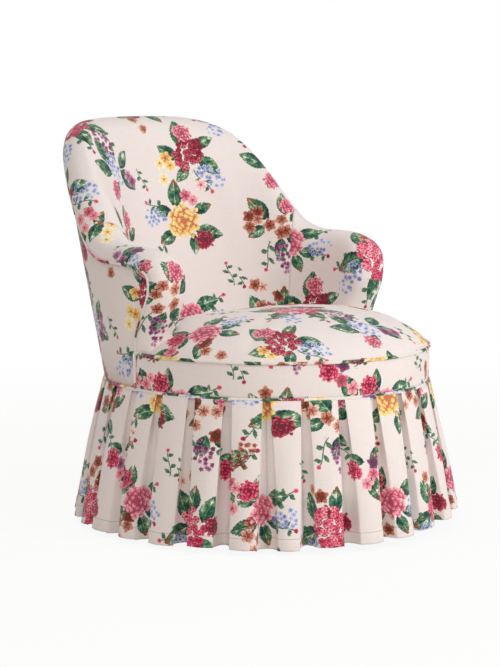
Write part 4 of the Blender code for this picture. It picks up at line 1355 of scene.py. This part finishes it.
@dataclass
class Seat:
    """The crowned seat, its upright band and the cords along both."""

    form: ShellForm
    linen: bpy.types.Material
    columns: int = 144
    rings: int = 30
    tuck: float = 0.006
    roll: float = 0.018
    slack: float = 0.004
    fullness: float = 5.6
    forward: float = 0.24
    side_drop: float = 0.005
    back_sink: float = 0.032
    sink_ease: float = 1.25
    back_spread: float = 75.0
    front_angle: float = 84.0
    blend: float = 8.0
    rounds: int = 5
    eye: float = 0.06
    behind_cord: float = 0.0006
    band_bulge: float = 0.0018
    band_columns: int = 120
    band_rows: int = 9
    end_gap: float = 0.3
    cord_step: float = 2.5

    def crown(self, angle: Values, share: Values, rim: Values) -> Values:
        """The seat's height, fuller to the front and sunk to the back.

        Args:
            angle: plan angles in degrees.
            share: how far out, from the middle, 0, to the rim, 1.
            rim: the rim's radius.

        Returns:
            Heights.
        """
        form = self.form
        rise = form.seat_rise - self.slack
        out = share * rim / form.seat_radius
        full = (1 - out**self.fullness) * (1 - self.forward * out * np.cos(np.radians(angle)))
        sunk = self.back_sink * hump(angle, 0.0, self.back_spread) * share**self.sink_ease
        return form.seat_edge + rise * full - sunk

    def rims(self, angles: np.ndarray) -> np.ndarray:
        """How far out the top goes at each column: to the cord, or tucked into the shell.

        Args:
            angles: the columns' plan angles.

        Returns:
            Their radii.
        """
        form = self.form
        swing = np.abs(angles)
        reach = np.full(len(angles), form.seat_radius - 2 * form.half)
        for _ in range(self.rounds):
            height = self.crown(swing, 1.0, reach)
            pad = form.padding(form.depth(swing, height))
            reach = form.radius(swing, height) - pad * np.sqrt(1 + form.rake(swing) ** 2)
        share = np.clip((swing - self.front_angle + self.blend) / self.blend, 0, 1)
        share = share * share * (3 - 2 * share)
        return (reach + self.tuck) * (1 - share) + (form.seat_radius - self.behind_cord) * share

    def top(self) -> ClothPiece:
        """Lays out the crowned top, drawn down where it meets the shell.

        Returns:
            The top.
        """
        form = self.form
        angles = np.linspace(-180, 180, self.columns, endpoint=False)
        rims = self.rims(angles)
        shares = np.sin(np.linspace(self.eye, 1, self.rings) * math.pi / 2)
        points, flat = [[0, form.axis_y, self.crown(0.0, 0.0, 0.0)]], [(0.0, 0.0)]
        for share in shares:
            for angle, rim in zip(angles, rims):
                reach = share * rim
                tucked = abs(angle) < self.front_angle - 2
                close = max(0.0, 1 - (rim - reach) / self.roll) if tucked else 0.0
                height = float(self.crown(angle, share, rim)) - self.side_drop * close**2
                points.append(form.around(angle, reach, height))
                turn = math.radians(angle)
                flat.append((reach * math.sin(turn), reach * math.cos(turn)))
        index = 1 + numbered(self.rings, self.columns)
        faces = quads(np.hstack([index, index[:, :1]]))
        first = index[0].tolist()
        faces += [(0, a, b) for a, b in zip(first, first[1:] + first[:1])]
        flat = np.array(flat) + (0.13, 0.21)
        return ClothPiece("seat_top", np.array(points), faces, flat, held_rim=list(index[-1]))

    def band(self, angles: np.ndarray) -> ClothPiece:
        """Lays out the upright band, bowed out a little between its cords.

        Args:
            angles: its columns' plan angles.

        Returns:
            The band.
        """
        form = self.form
        low, high = form.skirt_head, form.seat_edge
        points, flat = [], []
        for angle in angles:
            for share in np.linspace(0, 1, self.band_rows):
                bulge = self.band_bulge * math.sin(math.pi * share)
                height = low + (high - low) * share
                reach = form.seat_radius - self.behind_cord + bulge
                points.append(form.around(angle, reach, height))
                flat.append((-math.radians(angle) * form.seat_radius, height))
        return ClothPiece("seat_upright_band", np.array(points),
                          quads(numbered(len(angles), self.band_rows)),
                          np.array(flat) + (0.05, -0.16), fitted=False)

    def build(self) -> list[bpy.types.Object]:
        """Builds the seat's top, band and cords.

        Returns:
            The top, the band, the seat's cord and the skirt's cord.
        """
        form = self.form
        top = self.top().build(self.linen, (0, 0, 1.0), "seat_top_cover", "seat_foam")
        front = float(form.edge_at([0], form.pipe_inset)[0, 0]) + self.end_gap
        angles = np.linspace(front, 360 - front, self.band_columns)
        band = self.band(angles).build(self.linen, form.outwards(angles[0]), "seat_band")
        declare_stretched(band)
        line = [form.around(a, form.seat_radius, form.seat_edge) for a in angles]
        upper = cord("seat_cord", line, form.cord, (0.2, 0.31))
        ring = [form.around(a, form.seat_radius, form.skirt_head)
                for a in np.arange(0, 360, self.cord_step)]
        lower = cord("skirt_cord", ring, form.cord, (0.0, 0.47), closed=True)
        return [top, band, upper.build(self.linen, (0, 0, 0), "seat_piping"),
                lower.build(self.linen, (0, 0, 0), "skirt_piping")]


@dataclass
class Skirt:
    """Box pleats from the cord to the floor, in four lengths that join in a recess."""

    form: ShellForm
    linen: bpy.types.Material
    pleats: int = 28
    face_head: float = 0.80
    face_hem: float = 0.60
    face_bow: tuple[float, float] = (0.0010, 0.0062)
    set_back: float = 0.0012
    hem_radius: float = 0.410
    hem_height: float = 0.012
    proud: float = 0.0045
    bell: float = 0.3
    head_depth: float = 0.0075
    hem_depth: float = 0.036
    depth_ease: float = 0.8
    rail_reach: float = 0.3433
    fold_head: float = 0.020
    fold_hem: float = 0.070
    undercut: float = 0.10
    undercut_ease: float = 0.6
    wall: float = 0.66
    lift: float = 0.022
    lift_angle: float = 137.0
    lift_spread: float = 42.0
    lean_ease: float = 1.4
    sway: float = 0.020
    sway_pace: float = 5.0
    ripple: float = 0.0007
    ripple_up: float = 9.0
    ripple_across: float = 4.0
    print_step: float = 0.992
    print_rise: float = 1.03
    under_cord: float = 0.0010
    thickness: float = 0.0015
    hem_deep: float = 0.024
    hem_step: float = 0.0009
    rows: int = 30
    seed: int = 5

    def swings(self) -> dict[str, np.ndarray]:
        """Draws how each pleat differs from the next, as sewn cloth does.

        Returns:
            Each difference's name and its value for every pleat.
        """
        draw = np.random.default_rng(self.seed)
        count = self.pleats + 2
        return {
            "shift": draw.normal(0, 0.050, count),
            "width": draw.normal(0, 0.034, count),
            "flare": draw.normal(0, 0.0034, count),
            "depth": draw.uniform(0.8, 1.3, count),
            "soft_left": draw.uniform(0.5, 2.6, count),
            "soft_right": draw.uniform(0.5, 2.6, count),
            "sway": draw.uniform(0, 2 * math.pi, count),
            "drop": draw.normal(0, 0.0012, count),
        }

    def column_plan(self) -> list[tuple[Zone, float]]:
        """Sets out the columns of one pleat.

        Returns:
            The zone of each, and how far along it the column is.
        """
        fold = (0.0, 0.22, 0.50, 0.78)
        return [(zone, t) for zone, places in (
            (Zone.FACE, (0.0, 0.02, 0.10, 0.24, 0.40, 0.60, 0.76, 0.90, 0.98)),
            (Zone.IN, fold),
            (Zone.RECESS, (0.0, 0.12, 0.30, 0.5, 0.70, 0.88)),
            (Zone.OUT, fold),
        ) for t in places]

    def section(self, pleat: int, zone: Zone, t: float, share: float,
                wild: dict[str, np.ndarray]) -> tuple[float, float, float]:
        """A point of a pleat's section.

        Args:
            pleat: the pleat's number.
            zone: what it is part of.
            t: how far along the zone, from 0 to 1.
            share: the height from the hem, 0, to the cord, 1.
            wild: what swings() gives.

        Returns:
            Its plan angle in degrees, its radius, and how far it hangs above its level.
        """
        here, after = pleat % self.pleats, (pleat + 1) % self.pleats
        swell = (1 - share) * (1 + self.bell * share)
        start = self.form.seat_radius + self.proud
        reach = start + (self.hem_radius - start) * swell
        deepening = (self.hem_depth - self.head_depth) * swell**self.depth_ease
        depth = (self.head_depth + deepening) * wild["depth"][here]
        under = self.undercut * (1 - self.undercut_ease * swell)
        face = self.face_head + (self.face_hem - self.face_head) * swell

        def fold(side: str, k: int) -> float:
            """How wide a pleat's fold is at one side, in pitches."""
            return self.fold_head + (self.fold_hem * wild[side][k] - self.fold_head) * swell

        def lean(k: int) -> float:
            """How far a pleat has swung sideways, in pitches."""
            sway = self.sway * math.sin(self.sway_pace * share + wild["sway"][k])
            return wild["shift"][k] * swell**self.lean_ease + sway * swell

        def end(k: int, way: int) -> float:
            """Where a pleat's face ends to one side of its own middle, in pitches."""
            return way * (face / 2 + wild["width"][k] * swell) + lean(k)

        left, right, next_left = end(here, -1), end(here, 1), 1 + end(after, -1)
        low = right + fold("soft_right", here) - under
        high = next_left - fold("soft_left", after) + under
        ease = t * t * (3 - 2 * t)
        flare = wild["flare"][here] * swell**2
        if zone is Zone.FACE:
            across = left + t * (right - left)
            bow = 1 - (2 * t - 1) ** 2
            level = flare + (self.face_bow[0] + self.face_bow[1] * swell) * bow
            wave = math.sin(self.ripple_up * share + wild["sway"][here] + self.ripple_across * t)
            level += self.ripple * swell * wave
        elif zone is Zone.IN:
            across = right + (low - right) * t
            level = flare * (1 - ease) - self.wall * depth * ease
        elif zone is Zone.RECESS:
            across = low + (high - low) * t
            level = -depth * (self.wall + (1 - self.wall) * (1 - (2 * t - 1) ** 2))
        else:
            across = high + (next_left - high) * t
            level = wild["flare"][after] * swell**2 * ease - self.wall * depth * (1 - ease)
        angle = (pleat + across) * 360 / self.pleats
        rise = wild["drop"][here] + self.lift * hump(angle, self.lift_angle, self.lift_spread)
        return angle, max(reach + level - self.set_back, self.rail_reach), rise * swell**3

    def length(self, quarter: int, name: str, wild: dict[str, np.ndarray]) -> ClothPiece:
        """One of the skirt's four lengths, from the middle of a recess to that of another.

        Args:
            quarter: its number round from the back.
            name: its name.
            wild: what swings() gives.

        Returns:
            The cloth.
        """
        form = self.form
        per = self.pleats // 4
        first = quarter * per - per // 2
        columns = self.column_plan()
        join = columns.index((Zone.RECESS, 0.5))
        plan = [(first - 1, *column) for column in columns[join:]]
        plan += [(first + k, *column) for k in range(per) for column in columns]
        plan = plan[:join + 1 - len(columns)]
        tall = form.skirt_head - self.under_cord - self.hem_height
        shares = np.concatenate([[0.0, 0.012], np.linspace(0.035, 0.075, 3), [0.086],
                                 np.linspace(0.11, 1, self.rows)])
        points = []
        for share in shares:
            above = tall * share
            doubled = self.hem_step if above < self.hem_deep else 0.0
            for pleat, zone, t in plan:
                angle, reach, rise = self.section(pleat, zone, t, share, wild)
                points.append(form.around(angle, reach + doubled, self.hem_height + above + rise))
        points = np.array(points)
        gone = run_lengths(points[:len(plan)])
        across, up = np.tile(gone, len(shares)), np.repeat(tall * shares, len(plan))
        flat = np.stack([-across - self.print_step * quarter, up * self.print_rise], -1)
        faces = quads(numbered(len(shares), len(plan)))
        return ClothPiece(f"{name}_pleats", points, faces, flat + (0.11, 0.05), self.thickness,
                          np.stack([across, up], -1), fitted=False)

    def build(self) -> list[bpy.types.Object]:
        """Builds the four lengths and says what cloth each was cut from.

        Returns:
            The objects.
        """
        wild = self.swings()
        made = []
        for quarter, name in enumerate(("back", "right", "front", "left")):
            cloth = self.length(quarter, name, wild)
            middle = (quarter * self.pleats // 4 - self.pleats // 8) * 360 / self.pleats
            piece = cloth.build(self.linen, self.form.outwards(middle), f"{name}_skirt")
            width, tall = (float(size) for size in cloth.hem.max(axis=0))
            tall += self.hem_deep
            LOG.info("%s skirt: cut %.3f by %.3f m", name, width, tall)
            made.append(piece)
        return made


@dataclass(frozen=True)
class Studio:
    """The camera at the photograph's angle, soft lamps and a pale floor."""

    axis_y: float
    turn: float = 45.0
    distance: float = 5.843
    height: float = 1.132
    pitch: float = 7.115
    yaw: float = 0.431
    roll: float = -0.55
    lens: float = 147.72
    sensor: float = 36.0
    aim_height: float = 0.45
    paper: str = "F4F2EF"
    white: str = "FFFFFF"
    sky: str = "F8F2EB"
    sky_strength: float = 0.47
    floor_half: float = 30.0
    # The floor shows its own shade near the chair and turns to plain white further off.
    floor_near: tuple[float, float] = (0.8, 0.91)
    floor_far: tuple[float, float] = (3.0, 1.0)

    def camera(self) -> None:
        """Sets the camera where the photograph's was."""
        data = bpy.data.cameras.new("camera")
        data.lens = self.lens
        data.sensor_width = self.sensor
        made = put_in_scene("camera", data)
        away = math.radians(self.turn)
        made.location = (-self.distance * math.sin(away),
                         self.axis_y - self.distance * math.cos(away), self.height)
        made.rotation_euler = (math.radians(90 - self.pitch), math.radians(self.roll),
                               math.radians(-self.turn + self.yaw))
        bpy.context.scene.camera = made

    def lamp(self, name: str, place: tuple[float, float, float], size: float, power: float,
             colour: str) -> None:
        """A square soft lamp that looks at the seat.

        Args:
            name: its name.
            place: where it hangs, from the seat's axis.
            size: its side in metres.
            power: its power in watts.
            colour: its colour.
        """
        data = bpy.data.lights.new(name, "AREA")
        data.size = size
        data.energy = power
        data.color = linear(colour)[:3]
        made = put_in_scene(name, data)
        made.location = (place[0], self.axis_y + place[1], place[2])
        aim = np.array([0.0, 0.0, self.aim_height]) - np.array(place)
        level = math.hypot(aim[0], aim[1])
        made.rotation_euler = (math.atan2(level, -aim[2]), 0.0, math.atan2(-aim[0], aim[1]))

    def background_share(self, tree: Tree) -> Wire:
        """Tells the rays that see the background from those that light the chair.

        Args:
            tree: the node tree.

        Returns:
            1 for rays from the camera, a mirror or glass, and otherwise 0.
        """
        path = add(tree, "LightPath").node
        seen = add(tree, "Math MAXIMUM", path.outputs["Is Camera Ray"],
                   path.outputs["Is Glossy Ray"])
        return add(tree, "Math MAXIMUM", seen, path.outputs["Is Transmission Ray"])

    def floor(self) -> None:
        """A plain white floor that keeps a soft shadow."""
        mesh = bpy.data.meshes.new("floor")
        wide = self.floor_half
        mesh.from_pydata([(-wide, -wide, 0), (wide, -wide, 0), (wide, wide, 0), (-wide, wide, 0)],
                         [], [(0, 1, 2, 3)])
        made = put_in_scene("floor", mesh)
        material, tree = new_material("studio_paper")
        node = partial(add, tree)
        paper = node("BsdfDiffuse", linear(self.paper))
        glow = node("Emission", linear(self.white), 1.0)
        (near, dim), (far, full) = self.floor_near, self.floor_far
        away = node("VectorMath LENGTH", node("NewGeometry"))
        plain = node("MapRange", away, near, far, dim, full, interpolation_type="SMOOTHSTEP")
        share = node("Math MULTIPLY", self.background_share(tree), plain)
        node("OutputMaterial", node("MixShader", share, paper, glow))
        mesh.materials.append(material)

    def world(self) -> None:
        """Even pale light all round, and plain white behind."""
        world = bpy.data.worlds.new("studio")
        bpy.context.scene.world = world
        world.use_nodes = True
        tree = world.node_tree
        tree.nodes.clear()
        soft = add(tree, "Background", linear(self.sky), self.sky_strength)
        white = add(tree, "Background", linear(self.white), 1.0)
        add(tree, "OutputWorld", add(tree, "MixShader", self.background_share(tree), soft, white))

    def build(self) -> None:
        """Builds the studio."""
        self.camera()
        self.floor()
        self.world()
        self.lamp("key_lamp", (1.1, -3.2, 1.9), 1.0, 57.5, "FFFDFC")
        self.lamp("fill_lamp", (-2.4, -2.1, 2.1), 1.6, 18.0, "FFF2E4")
        self.lamp("back_lamp", (0.9, 3.2, 1.9), 2.0, 17.0, "FFFDFA")
        self.lamp("top_lamp", (-0.6, -0.8, 3.2), 2.0, 15.0, "F4F7FF")
        bpy.context.scene.view_settings.view_transform = "Standard"


def dress_hidden(nodes: dict[str, bpy.types.Object]) -> None:
    """Gives the nodes that keep their CAD shape their finishes.

    Args:
        nodes: the frame's nodes by name.
    """
    finishes = {finish.name: finish.make() for finish in HIDDEN_FINISHES}
    for name, node in nodes.items():
        for place in node.material_slots:
            base = place.material.name.split(".")[0] if place.material else ""
            if base in finishes:
                place.material = finishes[base]
                LOG.info("%s keeps its CAD shape in %s", name, base)


def main() -> None:
    """Loads the frame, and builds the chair's pieces and the studio."""
    logging.basicConfig(level=logging.INFO, format="%(message)s")
    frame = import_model()
    low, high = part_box("skirt_piping")
    axis_y = (low[1] + high[1]) / 2
    form = ShellForm(axis_y)
    linen = PrintedLinen().make()
    covers = Shell(form, linen).build()
    seat = Seat(form, linen).build()
    skirt = Skirt(form, linen).build()
    LOG.info("%d covers, %d seat pieces, %d skirt lengths", len(covers), len(seat), len(skirt))
    dress_hidden(frame["nodes"])
    low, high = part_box("dust_cover")
    Studio(axis_y).build()
    bpy.context.view_layer.update()


if __name__ == "__main__":
    main()
